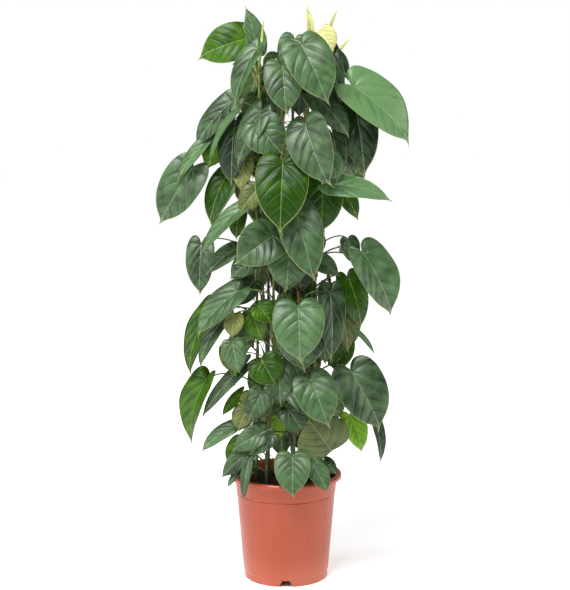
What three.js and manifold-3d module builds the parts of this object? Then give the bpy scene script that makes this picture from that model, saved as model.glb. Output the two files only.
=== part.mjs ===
// A heart-leaf philodendron trained up a column of coated steel stakes, in a plastic nursery pot.
// Millimetres, +Z up. The origin is on the floor, under the middle of the pot.
// Vines are rooted in the soil and climb outside the hoops. Each leaf is a blade with its petiole,
// and the petiole starts on the nearest vine.
import * as THREE from "three";
import { mergeVertices } from "three/addons/utils/BufferGeometryUtils.js";
import Module from "manifold-3d";

const wasm = await Module();
wasm.setup();

// ---- driving dimensions ----

const GAP = 0.35; // left between solids that touch in the real plant
const SLIVER = 0.05; // cut edges shorter than this are merged away

const POT = {
  height: 230,
  rimRadius: 120,
  lipDrop: 10, // height of the turned-down lip
  lipWall: 2,
  topRadius: 110, // outside of the wall just under the lip
  ledgeHeight: 188, // the stacking ledge, where the wall steps out
  ledgeStep: 1.2,
  bottomRadius: 92,
  footRadius: 90,
  footHeight: 15,
  footWall: 3.2,
  wall: 1.8,
  floorThickness: 2.2,
  segments: 40,
  notches: 4,
  notchWidthBottom: 29,
  notchWidthTop: 16,
  drainHoles: 8,
  drainHoleRadius: 5,
  drainCircleRadius: 62,
};

const SOIL = { edgeHeight: 215, crown: 6, clearance: 0.4 };

const STAKE = { count: 5, radius: 3, circleRadius: 46, bottom: 45, top: 1085, sides: 8 };

const HOOP = { wireRadius: 1.6, heights: [330, 560, 790, 1020], segments: 24, sides: 5 };

const VINE = { radius: 3.6, circleRadius: 61, bottom: 165, sides: 6, spacing: 70 };
// start: azimuth at the soil; turn: how far it winds on the way up; tip: where its newest spear ends
const VINES = [
  { start: -78, turn: 38, tip: [44, -48, 1229] },
  { start: -28, turn: 34, tip: [106, -42, 1218] },
  { start: 22, turn: 30, tip: [136, 14, 1160] },
  { start: 74, turn: 34, tip: [28, 118, 1172] },
  { start: 125, turn: 32, tip: [-92, 66, 1150] },
  { start: 178, turn: 30, tip: [-46, -36, 1196] },
  { start: 229, turn: 36, tip: [-20, -84, 1120] },
];
const SPEAR = { length: 46, radius: 3.4 }; // the rolled new leaf at a vine's end

const BLADE = { thickness: 1.3, bow: 0.08, innerShare: 0.66 };
// drop: how far below the blade's base it leaves the vine; tuck: how far under the blade's skin it ends
const PETIOLE = { radius: 1.9, steps: 4, drop: 22, tuck: 0.3 };

// Half of the blade's outline, from the notch where the petiole joins round to the drip tip.
// x is a share of the blade's width, y a share of the length from the petiole to the tip.
const HALF_OUTLINE = [
  [0, -0.03],
  [0.14, -0.18],
  [0.35, -0.17],
  [0.49, 0.04],
  [0.49, 0.32],
  [0.4, 0.57],
  [0.23, 0.78],
  [0.06, 0.91],
  [0, 1],
];

// Each leaf: name, where the petiole joins the blade, the drip tip, the blade's width, which way its
// upper side looks (azimuth from -Y towards +X, and elevation), how far each half folds up, its age.
const LEAVES = [
  ["leaf_01", [32, -118, 1144], [88, -150, 1024], 97, [5, 22], 8, "mature"],
  ["leaf_02", [-7, -110, 1102], [3, -140, 1003], 80, [-3, 22], 8, "mature"],
  ["leaf_03", [134, -75, 1054], [264, -60, 941], 108, [26, 25], 20, "mature"],
  ["leaf_04", [144, -48, 1014], [160, -75, 872], 72, [5, 10], 8, "mature"],
  ["leaf_05", [40, -128, 982], [90, -166, 860], 96, [-25, 20], 16, "mature"],
  ["leaf_06", [-7, -134, 905], [-12, -170, 765], 108, [0, 22], 6, "vivid"],
  ["leaf_07", [20, -116, 806], [60, -152, 664], 90, [4, 15], 10, "mature"],
  ["leaf_08", [25, -126, 610], [30, -160, 496], 107, [0, 20], 6, "mature"],
  ["leaf_09", [52, -126, 459], [90, -156, 363], 88, [5, 20], 6, "mature"],
  ["leaf_10", [13, -116, 292], [14, -148, 211], 76, [0, 20], 8, "mature"],
  ["leaf_11", [161, -84, 717], [221, -90, 588], 98, [32, 15], 18, "mature"],
  ["leaf_12", [135, -98, 465], [197, -112, 342], 106, [12, 20], 14, "mature"],
  ["leaf_13", [-28, -112, 757], [-107, -136, 701], 96, [-8, 18], 12, "mature"],
  ["leaf_14", [-189, -34, 890], [-267, -30, 772], 92, [-12, 12], 16, "mature"],
  ["leaf_15", [-99, -95, 637], [-189, -104, 542], 60, [-45, 25], 18, "mature"],
  ["leaf_16", [-159, -48, 441], [-202, -62, 309], 108, [-52, 12], 28, "vivid"],
  ["leaf_17", [-179, -36, 725], [-181, -48, 620], 60, [-10, 12], 10, "mature"],
  ["leaf_18", [91, -106, 866], [221, -100, 833], 62, [20, 50], 10, "mature"],
  ["leaf_19", [-86, -6, 1148], [-187, 4, 1112], 88, [-5, 25], 12, "vivid"],
  ["leaf_20", [-59, -92, 1138], [-108, -110, 1014], 56, [-42, 10], 22, "mature"],
  ["leaf_21", [-58, -100, 984], [-4, -112, 922], 90, [-5, 20], 14, "mature"],
  ["leaf_22", [-113, -36, 1028], [-193, -36, 928], 60, [-30, 15], 12, "mature"],
  ["leaf_23", [91, -100, 636], [93, -128, 493], 62, [20, 8], 14, "mature"],
  ["leaf_24", [127, -62, 660], [155, -70, 553], 66, [30, 8], 10, "vivid"],
  ["leaf_25", [96, -88, 318], [42, -98, 374], 98, [0, 4], 4, "bronze"],
  ["leaf_26", [-126, -32, 872], [-161, -46, 769], 54, [-25, 12], 14, "vivid"],
  ["leaf_27", [104, 62, 1096], [190, 100, 1008], 92, [100, 30], 10, "mature"],
  ["leaf_28", [44, 116, 1124], [66, 168, 1010], 96, [165, 25], 8, "mature"],
  ["leaf_29", [-54, 110, 1094], [-86, 164, 988], 94, [204, 25], 10, "mature"],
  ["leaf_30", [-118, 44, 990], [-186, 76, 896], 84, [250, 20], 12, "mature"],
  ["leaf_31", [112, 84, 930], [156, 136, 812], 96, [140, 20], 8, "vivid"],
  ["leaf_32", [-6, 128, 948], [-14, 170, 816], 104, [180, 22], 6, "mature"],
  ["leaf_33", [-108, 92, 852], [-168, 126, 744], 90, [232, 20], 10, "mature"],
  ["leaf_34", [30, 122, 772], [46, 166, 646], 98, [170, 18], 8, "mature"],
  ["leaf_35", [127, 36, 702], [190, 58, 606], 82, [102, 22], 11, "mature"],
  ["leaf_36", [-52, 122, 704], [-72, 166, 578], 100, [198, 20], 8, "vivid"],
  ["leaf_37", [-132, 34, 580], [-190, 54, 466], 70, [250, 18], 12, "mature"],
  ["leaf_38", [104, 92, 590], [148, 132, 470], 94, [134, 20], 10, "mature"],
  ["leaf_39", [8, 128, 540], [14, 166, 418], 98, [178, 20], 8, "mature"],
  ["leaf_40", [-80, 94, 528], [-110, 140, 430], 80, [218, 18], 10, "mature"],
  ["leaf_41", [82, 104, 400], [112, 138, 300], 82, [146, 20], 8, "mature"],
  ["leaf_42", [-24, 120, 350], [-34, 150, 252], 78, [190, 20], 8, "mature"],
];

// ---- materials ----

const finish = (color, roughness, metalness = 0) =>
  new THREE.MeshStandardMaterial({ color, roughness, metalness });

const POT_PLASTIC = finish(0xc4694d, 0.45);
const PEAT = finish(0x2b1c13, 0.95);
const STAKE_COATING = finish(0x1d3324, 0.4);
const STEM_SKIN = finish(0x5f8040, 0.5);
const LEAF_SKIN = {
  mature: finish(0x3f6a3c, 0.42),
  vivid: finish(0x4a8a25, 0.38),
  bronze: finish(0x66733f, 0.45),
};

// ---- solids ----

function toSolid(geometry) {
  const bare = new THREE.BufferGeometry();
  bare.setAttribute("position", geometry.getAttribute("position"));
  bare.setIndex(geometry.index);
  const merged = mergeVertices(bare, 1e-4);
  return new wasm.Manifold(
    new wasm.Mesh({
      numProp: 3,
      vertProperties: merged.getAttribute("position").array,
      triVerts: new Uint32Array(merged.index.array),
    }),
  );
}

function toGeometry(solid) {
  const mesh = solid.getMesh();
  const points = new Float32Array(mesh.numVert * 3);
  for (let i = 0; i < mesh.numVert; i++) {
    points.set(mesh.vertProperties.subarray(i * mesh.numProp, i * mesh.numProp + 3), i * 3);
  }
  const geometry = new THREE.BufferGeometry();
  geometry.setAttribute("position", new THREE.BufferAttribute(points, 3));
  geometry.setIndex(new THREE.BufferAttribute(mesh.triVerts, 1));
  geometry.computeVertexNormals();
  return geometry;
}

// A boolean cut can leave crumbs beside the piece itself, and slivers along the cut.
function largest(solid) {
  const bodies = solid.decompose();
  const body = bodies.reduce((best, one) => (one.volume() > best.volume() ? one : best));
  return body.asOriginal().simplify(SLIVER);
}

const degrees = THREE.MathUtils.degToRad;

// A point on the circle of this radius; azimuth 0 is along +X.
const around = (radius, azimuth, z = 0) =>
  new THREE.Vector3(radius * Math.cos(degrees(azimuth)), radius * Math.sin(degrees(azimuth)), z);

// LatheGeometry turns about Y, so it is stood up with Y along +Z.
function lathe(profile, segments) {
  const points = profile.map(([r, z]) => new THREE.Vector2(r, z));
  return new THREE.LatheGeometry(points, segments).rotateX(Math.PI / 2);
}

// A closed round tube along a curve.
function tube(curve, radius, sides, steps) {
  const section = new THREE.Shape();
  section.setFromPoints(
    Array.from({ length: sides }, (_, i) => {
      const angle = (2 * Math.PI * i) / sides;
      return new THREE.Vector2(radius * Math.cos(angle), radius * Math.sin(angle));
    }),
  );
  const options = { extrudePath: curve, steps, curveSegments: 1, bevelEnabled: false };
  return toSolid(new THREE.ExtrudeGeometry(section, options));
}

// ---- pot ----

function potSolid() {
  const ledgeRadius = THREE.MathUtils.mapLinear(
    POT.ledgeHeight,
    POT.footHeight,
    POT.height - POT.lipDrop,
    POT.bottomRadius,
    POT.topRadius - POT.ledgeStep,
  );
  const lipInside = POT.topRadius + 1.5;
  const shell = lathe(
    [
      [0, POT.footHeight],
      [POT.footRadius - POT.footWall, POT.footHeight],
      [POT.footRadius - POT.footWall, 0],
      [POT.footRadius - 1, 0],
      [POT.footRadius, 2],
      [POT.footRadius + 0.6, POT.footHeight],
      [POT.bottomRadius, POT.footHeight + 1.5],
      [ledgeRadius, POT.ledgeHeight],
      [ledgeRadius + POT.ledgeStep, POT.ledgeHeight + 1.5],
      [POT.topRadius, POT.height - POT.lipDrop],
      [POT.topRadius + 0.5, POT.height - POT.lipWall - 1],
      [POT.rimRadius - POT.lipWall, POT.height - POT.lipWall - 1.5],
      [POT.rimRadius - POT.lipWall, POT.height - POT.lipDrop],
      [POT.rimRadius, POT.height - POT.lipDrop],
      [POT.rimRadius, POT.height - 3],
      [POT.rimRadius - 2.5, POT.height],
      [lipInside, POT.height],
      [POT.topRadius - POT.wall, POT.height - 3],
      [ledgeRadius + POT.ledgeStep - POT.wall, POT.ledgeHeight + 1.5],
      [ledgeRadius - POT.wall, POT.ledgeHeight - 1],
      [POT.bottomRadius - POT.wall, POT.footHeight + POT.floorThickness],
      [0, POT.footHeight + POT.floorThickness],
    ],
    POT.segments,
  );
  let pot = toSolid(shell);
  for (let i = 0; i < POT.notches; i++) {
    pot = pot.subtract(toSolid(notchCutter(-90 + (360 * i) / POT.notches)));
  }
  for (let i = 0; i < POT.drainHoles; i++) {
    const azimuth = (360 * (i + 0.5)) / POT.drainHoles;
    const at = around(POT.drainCircleRadius, azimuth, POT.footHeight);
    const hole = new THREE.CylinderGeometry(POT.drainHoleRadius, POT.drainHoleRadius, 20, 10);
    pot = pot.subtract(toSolid(hole.rotateX(Math.PI / 2).translate(at.x, at.y, at.z)));
  }
  return pot;
}

// The drainage notch through the foot ring, wider at the floor than at its top.
function notchCutter(azimuth) {
  const half = [POT.notchWidthBottom / 2 + 2, POT.notchWidthTop / 2];
  const outline = new THREE.Shape([
    new THREE.Vector2(-half[0], -2),
    new THREE.Vector2(half[0], -2),
    new THREE.Vector2(half[1], POT.footHeight - 1.5),
    new THREE.Vector2(-half[1], POT.footHeight - 1.5),
  ]);
  const depth = POT.footWall + 8;
  const cutter = new THREE.ExtrudeGeometry(outline, { depth, bevelEnabled: false });
  cutter.rotateX(Math.PI / 2);
  cutter.rotateZ(Math.PI / 2);
  cutter.translate(POT.footRadius - POT.footWall - 4, 0, 0);
  return cutter.rotateZ(degrees(azimuth));
}

// ---- support column ----

const stakeSolid = (i, grow) => {
  const foot = around(STAKE.circleRadius, (360 * i) / STAKE.count, STAKE.bottom);
  const rod = new THREE.CylinderGeometry(
    STAKE.radius + grow,
    STAKE.radius + grow,
    STAKE.top - STAKE.bottom + 2 * grow,
    STAKE.sides,
  );
  rod.rotateX(Math.PI / 2);
  return toSolid(rod.translate(foot.x, foot.y, (STAKE.top + STAKE.bottom) / 2));
};

const hoopSolid = (height, grow) => {
  const radius = STAKE.circleRadius + STAKE.radius + HOOP.wireRadius + GAP;
  const ring = new THREE.TorusGeometry(radius, HOOP.wireRadius + grow, HOOP.sides, HOOP.segments);
  return toSolid(ring.translate(0, 0, height));
};

// ---- vines ----

// Where a vine is at this height on its climb.
function vinePoint(vine, z) {
  const climbed = (z - VINE.bottom) / (STAKE.top - VINE.bottom);
  const sway = 3 * Math.sin(climbed * 14 + vine.start);
  return around(VINE.circleRadius + 1.5 + 1.5 * Math.cos(climbed * 11), vine.start + vine.turn * climbed + sway, z);
}

const climbTop = (vine) => vine.tip[2] - 110;

function vineSolid(vine, grow) {
  const points = [];
  const top = climbTop(vine);
  const count = Math.round((top - VINE.bottom) / VINE.spacing);
  for (let i = 0; i <= count; i++) {
    points.push(vinePoint(vine, THREE.MathUtils.lerp(VINE.bottom - grow, top, i / count)));
  }
  const tip = new THREE.Vector3(...vine.tip);
  const heading = tip.clone().sub(points[count]).normalize();
  const neck = tip.clone().addScaledVector(heading, -SPEAR.length);
  const curve = new THREE.CatmullRomCurve3([...points, neck]);
  const stem = tube(curve, VINE.radius + grow, VINE.sides, count + 2);
  const spear = new THREE.CylinderGeometry(0.4, SPEAR.radius + grow, SPEAR.length, 6);
  const along = new THREE.Quaternion().setFromUnitVectors(new THREE.Vector3(0, 1, 0), heading);
  spear.applyQuaternion(along);
  const middle = neck.clone().addScaledVector(heading, SPEAR.length / 2 - 1);
  return stem.add(toSolid(spear.translate(middle.x, middle.y, middle.z)));
}

// ---- leaves ----

// The blade's own axes: along the midrib to the tip, across it, and out of its upper side.
function bladeAxes([, base, tip, , [azimuth, elevation]]) {
  const along = new THREE.Vector3(...tip).sub(new THREE.Vector3(...base));
  const length = along.length();
  along.normalize();
  const out = around(Math.cos(degrees(elevation)), azimuth - 90, Math.sin(degrees(elevation)));
  out.addScaledVector(along, -out.dot(along)).normalize();
  const across = new THREE.Vector3().crossVectors(along, out);
  return { along, across, out, length };
}

// The vine that grows nearest to a point.
function nearestVine(point) {
  const distance = (vine) => vinePoint(vine, Math.min(point.z, climbTop(vine))).distanceTo(point);
  return VINES.reduce((best, vine) => (distance(vine) < distance(best) ? vine : best));
}

// The petiole leaves its vine outwards and a little up, and comes to the blade from behind.
function petioleCurve(leaf) {
  const base = new THREE.Vector3(...leaf[1]);
  const { along, out } = bladeAxes(leaf);
  const vine = nearestVine(base);
  const start = vinePoint(vine, Math.min(base.z - PETIOLE.drop, climbTop(vine)));
  const outward = start.clone().setZ(0).normalize();
  start.addScaledVector(outward, VINE.radius + PETIOLE.radius + GAP);
  const end = base.addScaledVector(out, -(PETIOLE.radius + BLADE.thickness / 2 + PETIOLE.tuck));
  const reach = start.distanceTo(end);
  const leave = start.clone().addScaledVector(outward, reach * 0.3);
  leave.z += reach * 0.3;
  const arrive = end.clone().addScaledVector(along, -reach * 0.17).addScaledVector(out, -reach * 0.25);
  return new THREE.CubicBezierCurve3(start, leave, arrive, end);
}

// A ring of points on the blade, at this share of the way out to its margin.
// side is 1 on the upper skin, -1 on the underside and 0 at the margin.
function bladeRing(leaf, outline, share, side, grow) {
  const [, base, , width, , fold] = leaf;
  const { along, across, out, length } = bladeAxes(leaf);
  const lift = Math.tan(degrees(fold));
  return outline.map(([x, y]) => {
    const a = x * width * share * Math.cos(degrees(fold));
    const b = y * share;
    const bow = b > 0 ? 4 * BLADE.bow * b * (1 - b) : 2 * BLADE.bow * b;
    const skin = side * (BLADE.thickness / 2 + grow);
    return new THREE.Vector3(...base)
      .addScaledVector(along, b * length)
      .addScaledVector(across, a * (1 + (side === 0 ? grow / Math.max(Math.abs(a), 8) : 0)))
      .addScaledVector(out, bow * length + Math.abs(a) * lift + skin);
  });
}

// Rings of points round the petiole, from the blade's underside back to the vine.
function petioleRings(leaf, count, grow) {
  const curve = petioleCurve(leaf);
  const side = bladeAxes(leaf).across;
  const rings = [];
  for (let i = PETIOLE.steps; i >= 0; i--) {
    const t = i / PETIOLE.steps;
    const centre = curve.getPointAt(t);
    const heading = curve.getTangentAt(t);
    side.addScaledVector(heading, -side.dot(heading)).normalize();
    const behind = new THREE.Vector3().crossVectors(side, heading);
    const ring = Array.from({ length: count }, (_, k) => {
      const angle = (2 * Math.PI * k) / count;
      return centre
        .clone()
        .addScaledVector(behind, Math.cos(angle) * (PETIOLE.radius + grow))
        .addScaledVector(side, Math.sin(angle) * (PETIOLE.radius + grow));
    });
    rings.push(ring);
  }
  return rings;
}

// Closes a stack of equal rings into one skin, with a point at the first end and a flat last end.
// From the margin ring on, each four-sided patch folds along its other diagonal, so that the upper
// side and the underside of a blade fold alike and never cross.
function skinOver(point, rings, margin) {
  const count = rings[0].length;
  const points = [point, ...rings.flat()];
  const index = [];
  for (let k = 0; k < count; k++) {
    const next = (k + 1) % count;
    index.push(0, 1 + k, 1 + next);
    for (let r = 0; r + 1 < rings.length; r++) {
      const near = 1 + r * count;
      const far = near + count;
      if (r < margin) {
        index.push(near + k, far + k, near + next);
        index.push(near + next, far + k, far + next);
      } else {
        index.push(near + k, far + k, far + next);
        index.push(near + k, far + next, near + next);
      }
    }
  }
  const last = 1 + (rings.length - 1) * count;
  for (let k = 1; k + 1 < count; k++) {
    index.push(last, last + k + 1, last + k);
  }
  const geometry = new THREE.BufferGeometry().setFromPoints(points);
  geometry.setIndex(index);
  return geometry;
}

// A leaf in one skin: upper side, margin, underside and then the petiole.
function leafSolid(leaf, grow) {
  const mirrored = HALF_OUTLINE.slice(1, -1).reverse();
  const outline = [...HALF_OUTLINE, ...mirrored.map(([x, y]) => [-x, y])];
  const { out } = bladeAxes(leaf);
  const crown = new THREE.Vector3(...leaf[1]).addScaledVector(out, BLADE.thickness / 2 + grow);
  const rings = [
    bladeRing(leaf, outline, BLADE.innerShare, 1, grow),
    bladeRing(leaf, outline, 1, 0, grow),
    bladeRing(leaf, outline, BLADE.innerShare, -1, grow),
    ...petioleRings(leaf, outline.length, grow),
  ];
  const margin = 1; // its place among the rings
  return toSolid(skinOver(crown, rings, margin));
}

// ---- the plant ----

const plant = new THREE.Group();
const keepOut = []; // what later pieces are cut back from, each already grown by the gap

function place(name, material, build) {
  let solid = build(0);
  for (const other of keepOut) {
    solid = solid.subtract(other);
  }
  const mesh = new THREE.Mesh(toGeometry(largest(solid)), material);
  mesh.name = name;
  plant.add(mesh);
  keepOut.push(build(GAP));
}

for (let i = 0; i < STAKE.count; i++) {
  place(`stake_${i + 1}`, STAKE_COATING, (grow) => stakeSolid(i, grow));
}
HOOP.heights.forEach((height, i) => {
  place(`hoop_${i + 1}`, STAKE_COATING, (grow) => hoopSolid(height, grow));
});
VINES.forEach((vine, i) => {
  place(`vine_${i + 1}`, STEM_SKIN, (grow) => vineSolid(vine, grow));
});

// The soil fills the pot to a low crown, and is cut back from the stakes and vines set in it.
place("soil", PEAT, (grow) => {
  const inside = POT.wall + SOIL.clearance - grow;
  const bottom = POT.footHeight + POT.floorThickness + GAP;
  const wallAt = (z) =>
    THREE.MathUtils.mapLinear(z, POT.footHeight, POT.ledgeHeight, POT.bottomRadius, 104.6) - inside;
  const profile = [
    [0, bottom],
    [wallAt(bottom) - 1, bottom],
    [wallAt(POT.ledgeHeight - 2), POT.ledgeHeight - 2],
    [wallAt(POT.ledgeHeight - 2), SOIL.edgeHeight],
  ];
  for (const share of [0.75, 0.4, 0]) {
    const rise = SOIL.crown * (1 - share * share);
    profile.push([share * wallAt(POT.ledgeHeight - 2), SOIL.edgeHeight + rise]);
  }
  return toSolid(lathe(profile, POT.segments));
});
place("pot", POT_PLASTIC, () => potSolid());

for (const leaf of LEAVES) {
  place(leaf[0], LEAF_SKIN[leaf[6]], (grow) => leafSolid(leaf, grow));
}

export default plant;
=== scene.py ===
"""A heart-leaf philodendron on a column of coated stakes, in a moulded nursery pot.

Sizes in this file are millimetres until a mesh is made. Z is up and the front is towards -Y.
"""
import math

import bpy
import numpy as np
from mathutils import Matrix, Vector


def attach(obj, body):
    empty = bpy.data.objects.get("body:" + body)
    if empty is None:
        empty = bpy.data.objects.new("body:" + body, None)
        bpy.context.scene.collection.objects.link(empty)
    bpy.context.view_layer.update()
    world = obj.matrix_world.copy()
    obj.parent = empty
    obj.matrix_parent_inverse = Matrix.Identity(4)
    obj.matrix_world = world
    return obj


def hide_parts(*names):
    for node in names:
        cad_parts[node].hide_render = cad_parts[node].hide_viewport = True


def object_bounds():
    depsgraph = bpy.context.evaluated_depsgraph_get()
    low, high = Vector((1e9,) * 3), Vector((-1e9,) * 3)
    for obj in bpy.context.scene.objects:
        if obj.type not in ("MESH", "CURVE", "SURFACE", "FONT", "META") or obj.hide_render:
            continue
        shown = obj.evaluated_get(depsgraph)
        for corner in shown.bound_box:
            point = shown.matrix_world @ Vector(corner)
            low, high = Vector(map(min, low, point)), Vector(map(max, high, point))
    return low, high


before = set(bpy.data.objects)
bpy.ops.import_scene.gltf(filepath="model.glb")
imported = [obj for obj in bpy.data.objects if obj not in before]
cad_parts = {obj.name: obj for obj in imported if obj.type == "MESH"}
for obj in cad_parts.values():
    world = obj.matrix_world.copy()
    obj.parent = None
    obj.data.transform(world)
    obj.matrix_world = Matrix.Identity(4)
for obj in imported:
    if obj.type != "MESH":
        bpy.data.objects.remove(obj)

CAD_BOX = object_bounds()
MM = 0.001
GOLDEN = 137.508  # degrees between one leaf and the next round a stem


# ---- helpers ----


def add(tree, kind, settings=None, inputs=None):
    """Adds a node, sets its properties, and fills its inputs with values or links."""
    node = tree.nodes.new(kind)
    for key, value in (settings or {}).items():
        setattr(node, key, value)
    for key, value in (inputs or {}).items():
        socket = node.inputs[key]
        if isinstance(key, str):
            socket = next(s for s in node.inputs if s.identifier == key)
        if isinstance(value, bpy.types.NodeSocket):
            tree.links.new(value, socket)
        else:
            socket.default_value = value
    return node


def paint(code, alpha=1.0):
    """An sRGB hex colour as linear RGBA."""
    values = [int(code[i : i + 2], 16) / 255 for i in (1, 3, 5)]
    linear = [v / 12.92 if v <= 0.04045 else ((v + 0.055) / 1.055) ** 2.4 for v in values]
    return (*linear, alpha)


def node_group(name, inputs, output):
    """A Geometry Nodes tree with these inputs, and its input node."""
    tree = bpy.data.node_groups.new(name, "GeometryNodeTree")
    for socket, kind in inputs:
        tree.interface.new_socket(socket, in_out="INPUT", socket_type="NodeSocket" + kind)
    tree.interface.new_socket(output, in_out="OUTPUT", socket_type="NodeSocketGeometry")
    return tree, add(tree, "NodeGroupInput")


def close_group(tree, geometry, material):
    """Ends a tree with real geometry in one material."""
    real = add(tree, "GeometryNodeRealizeInstances", None, {"Geometry": geometry})
    coat = add(tree, "GeometryNodeSetMaterial", None, {"Geometry": real.outputs[0], "Material": material})
    add(tree, "NodeGroupOutput", None, {0: coat.outputs[0]})
    return tree


def unit(v):
    return v / np.linalg.norm(v)


def around(radius, azimuth, z=0.0):
    """A point on the circle of this radius; azimuth 0 is along +X."""
    turn = math.radians(azimuth)
    return np.array([radius * math.cos(turn), radius * math.sin(turn), z])


def bezier(a, b, c, d, count):
    t = np.linspace(0, 1, count)[:, None]
    s = 1 - t
    return s**3 * a + 3 * s * s * t * b + 3 * s * t * t * c + t**3 * d


def smooth_line(points, count):
    """Points evenly spaced along a rounded line through these ones."""
    p = np.array(points, float)
    ends = np.vstack([2 * p[0] - p[1], p, 2 * p[-1] - p[-2]])
    fine = []
    for a, b, c, d in zip(ends, ends[1:], ends[2:], ends[3:]):
        for t in np.linspace(0, 1, 24, endpoint=False):
            square, cube = 2 * a - 5 * b + 4 * c - d, 3 * b - a - 3 * c + d
            fine.append(0.5 * (2 * b + (c - a) * t + square * t**2 + cube * t**3))
    fine = np.array(fine + [p[-1]])
    run = np.concatenate([[0], np.cumsum(np.linalg.norm(np.diff(fine, axis=0), axis=1))])
    where = np.linspace(0, run[-1], count)
    return np.stack([np.interp(where, run, fine[:, k]) for k in range(p.shape[1])], axis=1)


class Skin:
    """Gathers closed surfaces and makes one piece of them."""

    def __init__(self):
        self.points = []
        self.faces = []
        self.slots = []
        self.facts = {}
        self.count = 0

    def take(self, points, faces, slot=0, **facts):
        self.points.append(np.asarray(points, float))
        self.faces.extend([[int(i) + self.count for i in face] for face in faces])
        self.slots.extend([slot] * len(faces))
        for name in sorted(set(self.facts) | set(facts)):
            kept = self.facts.setdefault(name, [np.zeros(self.count)])
            kept.append(np.broadcast_to(np.asarray(facts.get(name, 0.0), float), len(points)))
        self.count += len(points)

    def piece(self, name, materials, edge=None):
        mesh = bpy.data.meshes.new(name)
        mesh.from_pydata((np.vstack(self.points) * MM).tolist(), [], self.faces)
        for material in materials:
            mesh.materials.append(material)
        mesh.polygons.foreach_set("material_index", self.slots)
        mesh.polygons.foreach_set("use_smooth", [True] * len(self.faces))
        for fact, values in self.facts.items():
            mesh.attributes.new(fact, "FLOAT", "POINT").data.foreach_set("value", np.concatenate(values))
        if edge:
            mesh.set_sharp_from_angle(angle=math.radians(edge))
        return shown(name, mesh)


def shown(name, data):
    thing = bpy.data.objects.new(name, data)
    bpy.context.scene.collection.objects.link(thing)
    return thing


def settle(piece, slot, *nodes):
    """Every piece stands in the pot, so each rides on the one body."""
    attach(piece, "root")
    if nodes:
        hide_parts(*nodes)


# ---- what grows or is drawn along a path ----


def path_tree():
    """Geometry Nodes: a round skin along curves, as wide as each curve point says."""
    tree, given = node_group(
        "Round skin along a path", [("Paths", "Geometry"), ("Sides", "Int"), ("Material", "Material")], "Skin"
    )
    ring = add(tree, "GeometryNodeCurvePrimitiveCircle", None, {"Resolution": given.outputs[1], "Radius": 1.0})
    width = add(tree, "GeometryNodeInputRadius")
    skin = add(tree, "GeometryNodeCurveToMesh", None, {
        "Curve": given.outputs[0],
        "Profile Curve": ring.outputs["Curve"],
        "Scale": width.outputs[0],
        "Fill Caps": True,
    })
    return close_group(tree, skin.outputs[0], given.outputs[2])


def grown(source, tree, values):
    """The mesh that a tree makes of this object, which is removed."""
    modifier = source.modifiers.new("Made by nodes", "NODES")
    modifier.node_group = tree
    for item in tree.interface.items_tree:
        if item.item_type == "SOCKET" and item.in_out == "INPUT" and item.name in values:
            modifier[item.identifier] = values[item.name]
    source.update_tag()
    ready = source.evaluated_get(bpy.context.evaluated_depsgraph_get())
    mesh = bpy.data.meshes.new_from_object(ready)
    source.modifiers.remove(modifier)
    bpy.data.objects.remove(source)
    return mesh


def corners(mesh):
    """A mesh's points in millimetres and its faces."""
    points = np.empty(len(mesh.vertices) * 3, np.float32)
    mesh.vertices.foreach_get("co", points)
    return points.reshape(-1, 3).astype(float) / MM, [list(face.vertices) for face in mesh.polygons]


def along_paths(paths, sides, material=None):
    """Round skins along paths of (points, radii), as points and faces in millimetres."""
    curve = bpy.data.curves.new("paths", "CURVE")
    curve.dimensions = "3D"
    for points, radii in paths:
        spline = curve.splines.new("POLY")
        spline.points.add(len(points) - 1)
        spline.points.foreach_set("co", np.hstack([np.asarray(points) * MM, np.ones((len(points), 1))]).ravel())
        spline.points.foreach_set("radius", np.broadcast_to(np.asarray(radii, float), len(points)) * MM)
    mesh = grown(shown("paths", curve), PATH_TREE, {"Sides": sides, "Material": material})
    shape = corners(mesh)
    bpy.data.meshes.remove(mesh)
    return shape


PATH_TREE = path_tree()


# ---- materials ----


def finish(name):
    """A new material with one Principled surface, and what its patterns read."""
    material = bpy.data.materials.new(name)
    material.use_nodes = True
    tree = material.node_tree
    surface = tree.nodes["Principled BSDF"]
    place = add(tree, "ShaderNodeTexCoord").outputs["Object"]
    return material, tree, surface, place


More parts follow.
